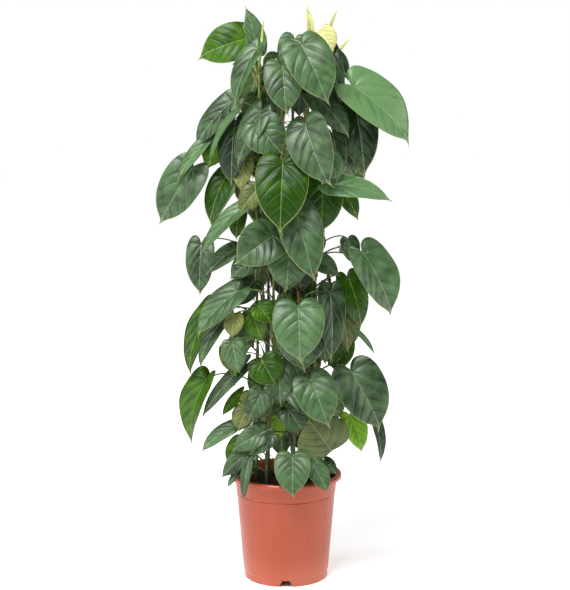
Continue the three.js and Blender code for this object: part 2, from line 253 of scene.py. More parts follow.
def leaf_upper(name, dark, light, vein, rim, shine=0.36, vein_share=0.12, gloss=0.46):
    """Living philodendron leaf, upper side: a waxy cuticle over soft tissue.

    It is satin, with painted shade that darkens the furrows along the veins, pale thread-like veins, and a thin pale
    margin that is partly its own colour and partly a painted highlight where the edge catches the light.
    """
    material, tree, surface, place = finish(name)
    facts = ("vein", "mid", "rim", "tone", "drip")
    fact = {k: add(tree, "ShaderNodeAttribute", {"attribute_name": k}).outputs["Fac"] for k in facts}
    shifted = add(tree, "ShaderNodeMath", {"operation": "ADD"}, {0: fact["vein"], 1: 0.5})
    share = add(tree, "ShaderNodeMath", {"operation": "FRACT"}, {0: shifted.outputs[0]})
    centred = add(tree, "ShaderNodeMath", {"operation": "SUBTRACT"}, {0: share.outputs[0], 1: 0.5})
    # how far from the nearest lateral vein, as a share of the space between two
    off = add(tree, "ShaderNodeMath", {"operation": "ABSOLUTE"}, {0: centred.outputs[0]}).outputs[0]
    # lateral veins are about 0.8 mm wide and 15 mm apart
    lateral = add(tree, "ShaderNodeMapRange", {"interpolation_type": "SMOOTHSTEP"}, {
        "Value": off, "From Min": 0.01, "From Max": 0.06, "To Min": vein_share, "To Max": 0.0,
    }).outputs[0]
    # painted shade: darker in the furrow along each lateral vein, lighter on the pillow between two veins
    pillow = add(tree, "ShaderNodeMapRange", {"interpolation_type": "SMOOTHSTEP"}, {
        "Value": off, "From Min": 0.0, "From Max": 0.3, "To Min": -0.16, "To Max": 0.08,
    }).outputs[0]
    midrib = add(tree, "ShaderNodeMapRange", {"interpolation_type": "SMOOTHSTEP"}, {
        "Value": fact["mid"], "From Min": 0.2, "From Max": 1.3, "To Min": 0.42, "To Max": 0.0,
    }).outputs[0]
    # the thin pale margin: partly the leaf's own colour, partly a painted highlight where the edge catches the light
    edge = add(tree, "ShaderNodeMapRange", {"interpolation_type": "SMOOTHSTEP"}, {
        "Value": fact["rim"], "From Min": 0.972, "From Max": 0.995, "To Min": 0.0, "To Max": 0.7,
    }).outputs[0]
    # broad patches about 30 mm across, and cloudy mottling about 6 mm across
    patches = add(tree, "ShaderNodeTexNoise", None, {"Vector": place, "Scale": 33.0, "Detail": 2.0}).outputs[0]
    mottle = add(tree, "ShaderNodeTexNoise", None, {"Vector": place, "Scale": 170.0, "Detail": 3.0}).outputs[0]
    spread = add(tree, "ShaderNodeMapRange", None, {
        "Value": patches, "From Min": 0.3, "From Max": 0.7, "To Min": -0.22, "To Max": 0.22,
    }).outputs[0]
    fine = add(tree, "ShaderNodeMapRange", None, {
        "Value": mottle, "From Min": 0.3, "From Max": 0.7, "To Min": -0.07, "To Max": 0.07,
    }).outputs[0]
    total = fact["tone"]
    for part in (spread, fine, pillow):
        total = add(tree, "ShaderNodeMath", {"operation": "ADD"}, {0: total, 1: part}).outputs[0]
    colour = add(tree, "ShaderNodeMix", {"data_type": "RGBA"}, {
        0: total, 6: paint(dark), 7: paint(light),
    }).outputs[2]
    yellowed = add(tree, "ShaderNodeMath", {"operation": "MULTIPLY"}, {0: fact["drip"], 1: 0.45}).outputs[0]
    for amount, code in ((lateral, vein), (midrib, vein), (edge, rim), (yellowed, "#a9ad4a")):
        colour = add(tree, "ShaderNodeMix", {"data_type": "RGBA"}, {0: amount, 6: colour, 7: paint(code)}).outputs[2]
    tree.links.new(colour, surface.inputs["Base Color"])
    rough = add(tree, "ShaderNodeMapRange", None, {
        "Value": mottle, "From Min": 0.3, "From Max": 0.7, "To Min": shine - 0.05, "To Max": shine + 0.07,
    }).outputs[0]
    tree.links.new(rough, surface.inputs["Roughness"])
    # each lateral vein lies in a furrow 1 mm deep
    furrow = add(tree, "ShaderNodeMapRange", {"interpolation_type": "SMOOTHSTEP"}, {
        "Value": off, "From Min": 0.0, "From Max": 0.2, "To Min": 0.0, "To Max": 1.0,
    }).outputs[0]
    # the cuticle's cell relief, drawn at 3 mm because the real 0.1 mm is too fine to show
    cells = add(tree, "ShaderNodeTexVoronoi", {"feature": "F1"}, {"Vector": place, "Scale": 330.0}).outputs[0]
    relief = add(tree, "ShaderNodeMath", {"operation": "MULTIPLY_ADD"}, {0: cells, 1: 0.16, 2: furrow}).outputs[0]
    bump = add(tree, "ShaderNodeBump", None, {"Strength": 0.6, "Distance": 0.001, "Height": relief}).outputs[0]
    tree.links.new(bump, surface.inputs["Normal"])
    surface.inputs["IOR"].default_value = 1.45
    surface.inputs["Specular IOR Level"].default_value = gloss
    return material


def leaf_under(name, dark, light, vein):
    """Living leaf, underside: no wax, so it is paler and dull, with raised veins."""
    material, tree, surface, place = finish(name)
    fact = {k: add(tree, "ShaderNodeAttribute", {"attribute_name": k}).outputs["Fac"] for k in ("vein", "mid")}
    wave = add(tree, "ShaderNodeMath", {"operation": "PINGPONG"}, {0: fact["vein"], 1: 0.5}).outputs[0]
    lateral = add(tree, "ShaderNodeMapRange", {"interpolation_type": "SMOOTHSTEP"}, {
        "Value": wave, "From Min": 0.02, "From Max": 0.12, "To Min": 0.5, "To Max": 0.0,
    }).outputs[0]
    midrib = add(tree, "ShaderNodeMapRange", {"interpolation_type": "SMOOTHSTEP"}, {
        "Value": fact["mid"], "From Min": 0.6, "From Max": 2.2, "To Min": 0.9, "To Max": 0.0,
    }).outputs[0]
    cloud = add(tree, "ShaderNodeTexNoise", None, {"Vector": place, "Scale": 60.0, "Detail": 4.0}).outputs[0]
    mixed = add(tree, "ShaderNodeMath", {"operation": "MULTIPLY_ADD"}, {0: cloud, 1: 0.6, 2: -0.1}).outputs[0]
    colour = add(tree, "ShaderNodeMix", {"data_type": "RGBA"}, {0: mixed, 6: paint(dark), 7: paint(light)}).outputs[2]
    for amount in (lateral, midrib):
        colour = add(tree, "ShaderNodeMix", {"data_type": "RGBA"}, {0: amount, 6: colour, 7: paint(vein)}).outputs[2]
    tree.links.new(colour, surface.inputs["Base Color"])
    rough = add(tree, "ShaderNodeMapRange", None, {"Value": cloud, "To Min": 0.5, "To Max": 0.68}).outputs[0]
    tree.links.new(rough, surface.inputs["Roughness"])
    bump = add(tree, "ShaderNodeBump", None, {"Strength": 0.4, "Distance": 0.0004, "Height": lateral}).outputs[0]
    tree.links.new(bump, surface.inputs["Normal"])
    return material


def stem(name, low, high, old, low_z, high_z, shine=0.45):
    """Living stem skin: green and waxy, darker towards the bottom, with corky patches."""
    material, tree, surface, place = finish(name)
    split = add(tree, "ShaderNodeSeparateXYZ", None, {0: place})
    climb = add(tree, "ShaderNodeMapRange", None, {
        "Value": split.outputs[2], "From Min": low_z * MM, "From Max": high_z * MM,
    }).outputs[0]
    streak_place = add(tree, "ShaderNodeMapping", None, {"Vector": place, "Scale": (1.0, 1.0, 0.12)}).outputs[0]
    # lengthwise streaks about 1.5 mm wide
    streak = add(tree, "ShaderNodeTexNoise", None, {"Vector": streak_place, "Scale": 700.0, "Detail": 3.0}).outputs[0]
    blotch = add(tree, "ShaderNodeTexNoise", None, {"Vector": place, "Scale": 45.0, "Detail": 4.0}).outputs[0]
    green = add(tree, "ShaderNodeMix", {"data_type": "RGBA"}, {0: climb, 6: paint(low), 7: paint(high)}).outputs[2]
    amount = add(tree, "ShaderNodeMapRange", {"interpolation_type": "SMOOTHSTEP"}, {
        "Value": blotch, "From Min": 0.5, "From Max": 0.72, "To Min": 0.0, "To Max": 0.7,
    }).outputs[0]
    corky = add(tree, "ShaderNodeMix", {"data_type": "RGBA"}, {0: amount, 6: green, 7: paint(old)}).outputs[2]
    shade = add(tree, "ShaderNodeMapRange", None, {"Value": streak, "To Min": 0.55, "To Max": 1.35}).outputs[0]
    colour = add(tree, "ShaderNodeVectorMath", {"operation": "SCALE"}, {0: corky, "Scale": shade}).outputs[0]
    tree.links.new(colour, surface.inputs["Base Color"])
    rough = add(tree, "ShaderNodeMapRange", None, {
        "Value": streak, "To Min": shine - 0.1, "To Max": shine + 0.15,
    }).outputs[0]
    tree.links.new(rough, surface.inputs["Roughness"])
    bump = add(tree, "ShaderNodeBump", None, {"Strength": 0.4, "Distance": 0.0003, "Height": streak}).outputs[0]
    tree.links.new(bump, surface.inputs["Normal"])
    return material


def moulded_pot():
    """Polypropylene, injection moulded in terracotta colour: satin, faintly flecked, dusty near the soil."""
    material, tree, surface, place = finish("Moulded polypropylene, terracotta")
    split = add(tree, "ShaderNodeSeparateXYZ", None, {0: place})
    # flow marks run up the wall from the gate in the floor
    flow_place = add(tree, "ShaderNodeMapping", None, {"Vector": place, "Scale": (1.0, 1.0, 0.15)}).outputs[0]
    flow = add(tree, "ShaderNodeTexNoise", None, {"Vector": flow_place, "Scale": 60.0, "Detail": 3.0}).outputs[0]
    fleck = add(tree, "ShaderNodeTexNoise", None, {"Vector": place, "Scale": 900.0, "Detail": 2.0}).outputs[0]
    haze = add(tree, "ShaderNodeTexNoise", None, {"Vector": place, "Scale": 16.0, "Detail": 5.0}).outputs[0]
    base = add(tree, "ShaderNodeMix", {"data_type": "RGBA"}, {
        0: flow, 6: paint(POT_COLOURS[0]), 7: paint(POT_COLOURS[1]),
    }).outputs[2]
    speck = add(tree, "ShaderNodeMapRange", None, {
        "Value": fleck, "From Min": 0.62, "From Max": 0.75, "To Min": 0.0, "To Max": 0.18,
    }).outputs[0]
    base = add(tree, "ShaderNodeMix", {"data_type": "RGBA"}, {0: speck, 6: base, 7: paint("#c97d62")}).outputs[2]
    low = add(tree, "ShaderNodeMapRange", {"interpolation_type": "SMOOTHSTEP"}, {
        "Value": split.outputs[2], "From Min": 0.0, "From Max": 0.075, "To Min": 0.55, "To Max": 0.0,
    }).outputs[0]
    scuff = add(tree, "ShaderNodeMath", {"operation": "MULTIPLY"}, {0: low, 1: haze}).outputs[0]
    base = add(tree, "ShaderNodeMix", {"data_type": "RGBA"}, {0: scuff, 6: base, 7: paint("#cf7a5e")}).outputs[2]
    tree.links.new(base, surface.inputs["Base Color"])
    rough = add(tree, "ShaderNodeMapRange", None, {
        "Value": haze, "From Min": 0.3, "From Max": 0.7, "To Min": 0.25, "To Max": 0.37,
    }).outputs[0]
    tree.links.new(rough, surface.inputs["Roughness"])
    # spark-eroded mould texture, drawn at 1 mm
    bump = add(tree, "ShaderNodeBump", None, {"Strength": 0.06, "Distance": 0.0002, "Height": fleck}).outputs[0]
    tree.links.new(bump, surface.inputs["Normal"])
    surface.inputs["IOR"].default_value = 1.49
    return material


def peat():
    """Peat potting mix: loose, matte, nearly black where moist, with brown fibres."""
    material, tree, surface, place = finish("Peat potting mix, moist")
    clod = add(tree, "ShaderNodeTexNoise", None, {"Vector": place, "Scale": 110.0, "Detail": 6.0}).outputs[0]
    grit = add(tree, "ShaderNodeTexNoise", None, {"Vector": place, "Scale": 600.0, "Detail": 4.0}).outputs[0]
    base = add(tree, "ShaderNodeMix", {"data_type": "RGBA"}, {
        0: clod, 6: paint("#120b06"), 7: paint("#3f2a1c"),
    }).outputs[2]
    fibre = add(tree, "ShaderNodeMapRange", None, {
        "Value": grit, "From Min": 0.6, "From Max": 0.7, "To Min": 0.0, "To Max": 0.6,
    }).outputs[0]
    base = add(tree, "ShaderNodeMix", {"data_type": "RGBA"}, {0: fibre, 6: base, 7: paint("#6b4a30")}).outputs[2]
    tree.links.new(base, surface.inputs["Base Color"])
    surface.inputs["Roughness"].default_value = 0.95
    bump = add(tree, "ShaderNodeBump", None, {"Strength": 0.8, "Distance": 0.001, "Height": grit}).outputs[0]
    tree.links.new(bump, surface.inputs["Normal"])
    return material


def coated_steel():
    """Steel tube and wire dipped in dark green PVC: fairly glossy, dusty in places."""
    material, tree, surface, place = finish("PVC-coated steel, dark green")
    dust = add(tree, "ShaderNodeTexNoise", None, {"Vector": place, "Scale": 70.0, "Detail": 5.0}).outputs[0]
    base = add(tree, "ShaderNodeMix", {"data_type": "RGBA"}, {
        0: dust, 6: paint("#14271a"), 7: paint("#2f4a35"),
    }).outputs[2]
    tree.links.new(base, surface.inputs["Base Color"])
    rough = add(tree, "ShaderNodeMapRange", None, {"Value": dust, "To Min": 0.25, "To Max": 0.6}).outputs[0]
    tree.links.new(rough, surface.inputs["Roughness"])
    return material


POT_COLOURS = ("#963817", "#a2431f")
SOFT_LEAF = {"shine": 0.42, "vein_share": 0.14, "gloss": 0.4}
# surface name, dark and light of the blade, veins, margin, and what differs from a waxy mature leaf
LEAF_UPPER = {
    age: leaf_upper("Philodendron leaf, " + name, *colours, **ways)
    for age, name, colours, ways in (
        ("mature", "mature, waxy", ("#0b2006", "#577a4b", "#8ea57a", "#9fb272"), {}),
        # the fresh green leaves' bright yellow-green is partly their own colour and partly painted light shining
        # through leaves that are lit from behind
        ("vivid", "fresh green with painted backlight, waxy", ("#183800", "#527f0a", "#8fae55", "#a9c260"), {"shine": 0.34, "gloss": 0.26}),
        ("young", "newly opened, pale", ("#9a9e52", "#cdcd8c", "#e6e6b4", "#e0dfa0"),
         {"shine": 0.45, "vein_share": 0.2, "gloss": 0.4}),
        ("olive", "half-grown, olive", ("#3f4c1c", "#8d9350", "#b0b07a", "#b09a68"), SOFT_LEAF),
        ("bronze", "bronze flush", ("#3a4720", "#6c7a45", "#989d6c", "#96604e"), SOFT_LEAF),
        ("lime", "lime shoot", ("#5c9010", "#9fc93a", "#bfdc6c", "#c6dc70"), SOFT_LEAF),
    )
}
LEAF_UNDER = leaf_under("Philodendron leaf, underside", "#4f6f3a", "#86a166", "#a9bd80")
YOUNG_UNDER = leaf_under("Philodendron young leaf, underside", "#9aa653", "#d3d68c", "#dfe0a4")
PETIOLE_SKIN = stem("Philodendron petiole skin", "#56762f", "#7d9c46", "#8a7f3f", 250, 1150)
STEM_SKIN = stem("Philodendron stem skin", "#4c5a2a", "#7f9a45", "#6b5636", 220, 1180)
SPEAR_SKIN = stem("Philodendron rolled leaf, waxy", "#a3ab4a", "#c9cf74", "#b0a860", 0, 1250, 0.38)
ROOT_SKIN = stem("Philodendron aerial root, dry", "#5d3a24", "#8a5a36", "#3f2a1c", 200, 1150, 0.75)
SHEATH_SKIN = stem("Philodendron sheath, dry and papery", "#7a5a34", "#a98a52", "#5c4028", 200, 1150, 0.8)
POT_PLASTIC = moulded_pot()
PEAT = peat()
COATED_STEEL = coated_steel()


# ---- pot ----

POT = {
    "height": 230, "rim": 120, "lip": 10, "lip_wall": 2, "top": 110, "ledge_z": 188, "ledge": 1.2,
    "bottom": 92, "foot": 90, "foot_height": 15, "foot_wall": 3.2, "wall": 1.8, "floor": 2.2,
}


def lathe(profile, segments):
    """A profile from axis to axis turned round Z, closed at both poles."""
    turns = [2 * math.pi * k / segments for k in range(segments)]
    points = [(0, 0, profile[0][1])]
    for r, z in profile[1:-1]:
        points += [(r * math.cos(t), r * math.sin(t), z) for t in turns]
    points.append((0, 0, profile[-1][1]))
    last = len(points) - 1
    rows = len(profile) - 2
    faces = []
    for k in range(segments):
        after = (k + 1) % segments
        faces.append([0, 1 + after, 1 + k])
        for row in range(rows - 1):
            a = 1 + row * segments
            b = a + segments
            faces.append([a + k, a + after, b + after, b + k])
        a = 1 + (rows - 1) * segments
        faces.append([a + k, a + after, last])
    return points, faces


def rounded(profile, radius, steps=3):
    """The profile with each corner rounded, as a mould tool leaves it."""
    out = [profile[0]]
    for before, here, after in zip(profile, profile[1:], profile[2:]):
        before, here, after = (np.array(p, float) for p in (before, here, after))
        back, ahead = before - here, after - here
        cut = min(radius, np.linalg.norm(back) * 0.4, np.linalg.norm(ahead) * 0.4)
        start, end = here + unit(back) * cut, here + unit(ahead) * cut
        for t in np.linspace(0, 1, steps + 1):
            out.append(tuple((1 - t) ** 2 * start + 2 * t * (1 - t) * here + t * t * end))
    return out + [profile[-1]]


def make_pot():
    p = POT
    rise = (p["ledge_z"] - p["foot_height"]) / (p["height"] - p["lip"] - p["foot_height"])
    at_ledge = p["bottom"] + (p["top"] - p["ledge"] - p["bottom"]) * rise
    step = at_ledge + p["ledge"]
    inside_rim = p["rim"] - p["lip_wall"]
    lip_z = p["height"] - p["lip"]
    profile = [
        (0, p["foot_height"] - 1), (6, p["foot_height"] - 1), (6.5, p["foot_height"]),
        (p["foot"] - p["foot_wall"], p["foot_height"]), (p["foot"] - p["foot_wall"], 0),
        (p["foot"] - 1, 0), (p["foot"], 2), (p["foot"] + 0.6, p["foot_height"]),
        (p["bottom"] - 0.9, p["foot_height"] + 1.2), (p["bottom"], p["foot_height"] + 2.6),
        (at_ledge, p["ledge_z"] - 1.6), (at_ledge - 1.0, p["ledge_z"] - 0.4), (step, p["ledge_z"] + 1.0),
        (p["top"], lip_z), (p["top"] + 0.5, p["height"] - p["lip_wall"] - 1),
        (inside_rim, p["height"] - p["lip_wall"] - 1.5), (inside_rim, lip_z), (p["rim"], lip_z),
        (p["rim"], p["height"] - 3), (p["rim"] - 2.5, p["height"]), (p["top"] + 1.5, p["height"]),
        (p["top"] - p["wall"], p["height"] - 3), (step - p["wall"], p["ledge_z"] + 1.5),
        (at_ledge - p["wall"], p["ledge_z"] - 1), (p["bottom"] - p["wall"], p["foot_height"] + p["floor"]),
        (0, p["foot_height"] + p["floor"]),
    ]
    skin = Skin()
    skin.take(*lathe(rounded(profile, 0.9), 144))
    pot = skin.piece("moulded_pot", [POT_PLASTIC])
    cutters = Skin()
    for k in range(4):
        half = ((16.5, -2), (8, p["foot_height"] - 1.5))
        outline = [(-half[0][0], -2), half[0], half[1], (-half[1][0], half[1][1])]
        turn = math.radians(90 * k - 90)
        cosine, sine = math.cos(turn), math.sin(turn)
        ring = []
        for depth in (p["foot"] - 8, p["foot"] + 6):
            for x, z in outline:
                ring.append((depth * cosine - x * sine, depth * sine + x * cosine, z))
        cutters.take(ring, [[3, 2, 1, 0], [4, 5, 6, 7], [0, 1, 5, 4], [1, 2, 6, 5], [2, 3, 7, 6], [3, 0, 4, 7]])
    for k in range(8):
        middle = around(62, 45 * (k + 0.5))
        hole = [(5 * math.cos(t), 5 * math.sin(t)) for t in np.linspace(0, 2 * math.pi, 24, endpoint=False)]
        ring = [(middle[0] + x, middle[1] + y, z) for z in (5, 25) for x, y in hole]
        sides = [[i, (i + 1) % 24, 24 + (i + 1) % 24, 24 + i] for i in range(24)]
        cutters.take(ring, [list(range(24))[::-1], list(range(24, 48))] + sides)
    tool = cutters.piece("cutters", [])
    cut = pot.modifiers.new("Notches and drain holes", "BOOLEAN")
    cut.object = tool
    cut.operation = "DIFFERENCE"
    cut.solver = "EXACT"
    mesh = bpy.data.meshes.new_from_object(pot.evaluated_get(bpy.context.evaluated_depsgraph_get()))
    pot.modifiers.remove(cut)
    pot.data = mesh
    mesh.set_sharp_from_angle(angle=math.radians(38))
    bpy.data.objects.remove(tool)
    settle(pot, "pot_plastic", "pot")


# ---- soil ----

SOIL = {"bottom": 17.8, "edge": 215, "crown": 6, "radius": 101.5, "low_radius": 89}


def crumb_tree():
    """Geometry Nodes: crumbs of peat scattered on a surface, lumpy and turned at random."""
    inputs = [
        ("Ground", "Geometry"), ("Crumb radius", "Float"),
        ("Crumbs per square metre", "Float"), ("Material", "Material"),
    ]
    tree, given = node_group("Crumbs on soil", inputs, "Crumbs")
    scatter = add(tree, "GeometryNodeDistributePointsOnFaces", None, {
        "Mesh": given.outputs[0], "Density": given.outputs[2], "Seed": 4,
    })
    lump = add(tree, "GeometryNodeMeshIcoSphere", None, {"Radius": given.outputs[1], "Subdivisions": 2})
    noise = add(tree, "ShaderNodeTexNoise", None, {"Scale": 400.0}).outputs["Color"]
    centre = add(tree, "ShaderNodeVectorMath", {"operation": "SUBTRACT"}, {0: noise, 1: (0.5, 0.5, 0.5)})
    push = add(tree, "ShaderNodeVectorMath", {"operation": "SCALE"}, {0: centre.outputs[0], "Scale": 0.003})
    lumpy = add(tree, "GeometryNodeSetPosition", None, {"Geometry": lump.outputs[0], "Offset": push.outputs[0]})
    turn = add(tree, "FunctionNodeRandomValue", {"data_type": "FLOAT_VECTOR"}, {"Max": (6.28, 6.28, 6.28), "Seed": 7})
    size = add(tree, "FunctionNodeRandomValue", {"data_type": "FLOAT_VECTOR"}, {
        "Min": (0.35, 0.35, 0.25), "Max": (1.5, 1.1, 0.8), "Seed": 9,
    })
    placed = add(tree, "GeometryNodeInstanceOnPoints", None, {
        "Points": scatter.outputs[0], "Instance": lumpy.outputs[0],
        "Rotation": turn.outputs[0], "Scale": size.outputs[0],
    })
    return close_group(tree, placed.outputs[0], given.outputs[3])


def ground_height(x, y):
    """The soil's top: a low crown with clods."""
    r = np.hypot(x, y) / SOIL["radius"]
    waves = np.sin(x * 0.11 + 1.3) * np.cos(y * 0.13 - 0.4) * 1.6
    waves += np.sin(x * 0.31 + y * 0.17) * 0.9 + np.sin(y * 0.43 - x * 0.29 + 2) * 0.7
    waves += np.sin(x * 0.9 + 0.7) * np.sin(y * 0.8 + 1.9) * 0.5
    return SOIL["edge"] + SOIL["crown"] * (1 - r * r) + waves * np.clip(1.15 - r, 0.3, 1) - 1.5


def make_soil():
    segments = 96
    rings = np.linspace(0, 1, 26)[1:]
    profile = [
        (0, SOIL["bottom"]), (SOIL["low_radius"] - 1, SOIL["bottom"]), (SOIL["low_radius"], SOIL["bottom"] + 1),
        (SOIL["radius"], 187), (SOIL["radius"] + 0.6, 212),
    ]
    profile += [(SOIL["radius"] * share, SOIL["edge"]) for share in rings[::-1]]
    profile.append((0, SOIL["edge"]))
    points, faces = lathe(profile, segments)
    points = np.array(points, float)
    top = points[:, 2] >= SOIL["edge"]
    points[top, 2] = ground_height(points[top, 0], points[top, 1])
    skin = Skin()
    skin.take(points, faces)
    settle(skin.piece("potting_soil", [PEAT]), "peat_soil", "soil")
    turf = Skin()
    turf.take(*disc(SOIL["radius"] - 3, 20, 48))
    ground = turf.piece("ground", [PEAT])
    values = {"Crumb radius": 0.0021, "Crumbs per square metre": 42000.0, "Material": PEAT}
    crumbs = shown("soil_crumbs", grown(ground, crumb_tree(), values))
    settle(crumbs, "peat_soil")


def disc(radius, rings, segments):
    points = [(0, 0, ground_height(0, 0))]
    for i in range(1, rings + 1):
        for k in range(segments):
            x, y, _ = around(radius * i / rings, 360 * k / segments)
            points.append((x, y, ground_height(x, y)))
    faces = [[0, 1 + k, 1 + (k + 1) % segments] for k in range(segments)]
    for i in range(rings - 1):
        a = 1 + i * segments
        for k in range(segments):
            after = (k + 1) % segments
            faces.append([a + k, a + segments + k, a + segments + after, a + after])
    return np.array(points, float), faces


# ---- support column ----

STAKE = {"count": 5, "radius": 3.0, "circle": 46.0, "bottom": 45.0, "top": 1085.0}
HOOP = {"wire": 1.6, "heights": [330, 560, 790, 1020], "gap": 0.35}


def make_support():
    for i in range(STAKE["count"]):
        middle = around(STAKE["circle"], 360 * i / STAKE["count"])
        z = np.arange(STAKE["bottom"], STAKE["top"] - 6, 2.4)
        # moulded grip ribs 12 mm apart, and a rounded cap
        radii = STAKE["radius"] - 0.25 + 0.3 * (np.mod(np.arange(len(z)), 5) == 0)
        cap = np.array([STAKE["top"] - 5, STAKE["top"] - 2.5, STAKE["top"] - 0.8, STAKE["top"]])
        z = np.concatenate([z, cap])
        radii = np.concatenate([radii, [2.8, 2.5, 1.7, 0.3]])
        points = np.stack([np.full(len(z), middle[0]), np.full(len(z), middle[1]), z], axis=1)
        skin = Skin()
        skin.take(*along_paths([(points, radii)], 10))
        settle(skin.piece(f"ribbed_stake_{i + 1}", [COATED_STEEL]), "stake_coating", f"stake_{i + 1}")
    ring_radius = STAKE["circle"] + STAKE["radius"] + HOOP["wire"] + HOOP["gap"]
    for n, height in enumerate(HOOP["heights"]):
        paths = []
        # the hoop's ends overlap by 12 degrees where they are welded
        turn = np.linspace(8, 380, 80)
        hoop = np.array([around(ring_radius, a, height + (a - 194) * 0.004) for a in turn])
        paths.append((hoop, HOOP["wire"]))
        for i in range(STAKE["count"]):
            azimuth = 360 * i / STAKE["count"]
            outward, sideways = around(1, azimuth), around(1, azimuth + 90)
            middle = around(STAKE["circle"] + 2.3, azimuth, height)
            spin = np.linspace(0, 3 * 2 * math.pi, 40)
            tie = [
                middle + outward * 6.2 * math.cos(s) + sideways * 4.4 * math.sin(s)
                + np.array([0, 0, 0.62 * (s - 9.4) * 0.6])
                for s in spin
            ]
            paths.append((np.array(tie), 0.6))
        skin = Skin()
        skin.take(*along_paths(paths, 8))
        settle(skin.piece(f"wire_hoop_{n + 1}", [COATED_STEEL]), "stake_coating", f"hoop_{n + 1}")


# ---- vines ----

NODE_SPACING = 42  # between one node of a vine and the next
VINE = {"radius": 3.6, "circle": 61, "bottom": 165}
VINES = [
    (-78, 38, (44, -48, 1229)),
    (-28, 34, (106, -42, 1218)),
    (22, 30, (136, 14, 1160)),
    (74, 34, (28, 118, 1172)),
    (125, 32, (-92, 66, 1150)),
    (178, 30, (-46, -36, 1196)),
    (229, 36, (-20, -84, 1120)),
]
SPEAR = {"length": 46, "radius": 3.4}


def vine_point(vine, z):
    """Where a vine is at this height on its climb."""
    start, turn, _ = vine
    climbed = (z - VINE["bottom"]) / (STAKE["top"] - VINE["bottom"])
    sway = 3 * math.sin(climbed * 14 + start)
    return around(VINE["circle"] + 1.5 + 1.5 * math.cos(climbed * 11), start + turn * climbed + sway, z)


def climb_top(vine):
    return vine[2][2] - 110


def nearest_vine(point):
    return min(VINES, key=lambda vine: np.linalg.norm(vine_point(vine, min(point[2], climb_top(vine))) - point))


def make_vines():
    rng = np.random.default_rng(11)
    roots, sheaths = [], []
    for n, vine in enumerate(VINES):
        top = climb_top(vine)
        heights = np.arange(VINE["bottom"], top, 7.0)
        points = [vine_point(vine, z) for z in heights]
        tip = np.array(vine[2], float)
        heading = unit(tip - vine_point(vine, top))
        neck = tip - heading * SPEAR["length"]
        last = vine_point(vine, top)
        rise = vine_point(vine, top) - vine_point(vine, top - 20)
        bend = bezier(last, last + rise, neck - heading * 25, neck, 9)
        points = np.array(points + list(bend))
        run = np.concatenate([[0], np.cumsum(np.linalg.norm(np.diff(points, axis=0), axis=1))])
        # a node every 42 mm, where the stem is swollen and ringed
        node = np.mod(run + 9 * n, NODE_SPACING)
        swelling = np.exp(-((np.minimum(node, 42 - node) / 5.0) ** 2))
        radii = VINE["radius"] - 0.5 - 0.5 * run / run[-1] + 1.0 * swelling
        stem_skin = Skin()
        stem_skin.take(*along_paths([(points, radii)], 10), 0)
        reach = np.linspace(0, 1, 12)
        swell = np.interp(reach, [0, 0.12, 0.35, 0.7, 0.92, 1], [0.7, 0.95, 1, 0.62, 0.22, 0.06]) * SPEAR["radius"]
        side = unit(np.cross(heading, [0, 0, 1]) + 0.001)
        bend = np.outer(np.sin(reach * 3) * 1.2, side)
        curl = (neck - heading * 3) + np.outer(reach * (SPEAR["length"] + 3), heading) + bend
        stem_skin.take(*along_paths([(curl, swell)], 12), 1)
        settle(stem_skin.piece(f"climbing_stem_{n + 1}", [STEM_SKIN, SPEAR_SKIN]), "stem_skin", f"vine_{n + 1}")
        for z in np.arange(235 + 6 * n, top, NODE_SPACING):
            here = vine_point(vine, z)
            inward = -unit(here * (1, 1, 0))
            side = np.cross(inward, [0, 0, 1])
            for _ in range(3):
                length = rng.uniform(14, 40)
                aim = inward * rng.uniform(0.1, 1) + side * rng.uniform(-1.2, 1.2)
                aim = unit(aim + np.array([0, 0, rng.uniform(-1, 0.3)]))
                sag = np.array([0, 0, -length * rng.uniform(0.2, 0.6)])
                wave = side * rng.uniform(-5, 5)
                root = bezier(
                    here, here + aim * length * 0.4, here + aim * length * 0.8 + wave, here + aim * length + sag, 8
                )
                roots.append((root, np.linspace(1.0, 0.35, 8)))
            turn = math.degrees(math.atan2(here[1], here[0])) + rng.uniform(-70, 70)
            sheaths.append((here, turn, rng.uniform(0.7, 1.3)))
    root_skin = Skin()
    root_skin.take(*along_paths(roots, 6))
    settle(root_skin.piece("aerial_roots", [ROOT_SKIN]), "stem_skin")
    make_sheaths(sheaths)


def sheath_tree():
    """Geometry Nodes: one papery sheath on every point, turned and sized by the point."""
    tree, given = node_group(
        "Sheaths on nodes", [("Stem nodes", "Geometry"), ("Sheath", "Object"), ("Material", "Material")], "Sheaths"
    )
    shape = add(tree, "GeometryNodeObjectInfo", None, {"Object": given.outputs[1]})
    turn = add(tree, "GeometryNodeInputNamedAttribute", {"data_type": "FLOAT_VECTOR"}, {"Name": "turn"})
    size = add(tree, "GeometryNodeInputNamedAttribute", {"data_type": "FLOAT"}, {"Name": "size"})
    placed = add(tree, "GeometryNodeInstanceOnPoints", None, {
        "Points": given.outputs[0], "Instance": shape.outputs["Geometry"],
        "Rotation": turn.outputs[0], "Scale": size.outputs[0],
    })
    return close_group(tree, placed.outputs[0], given.outputs[2])


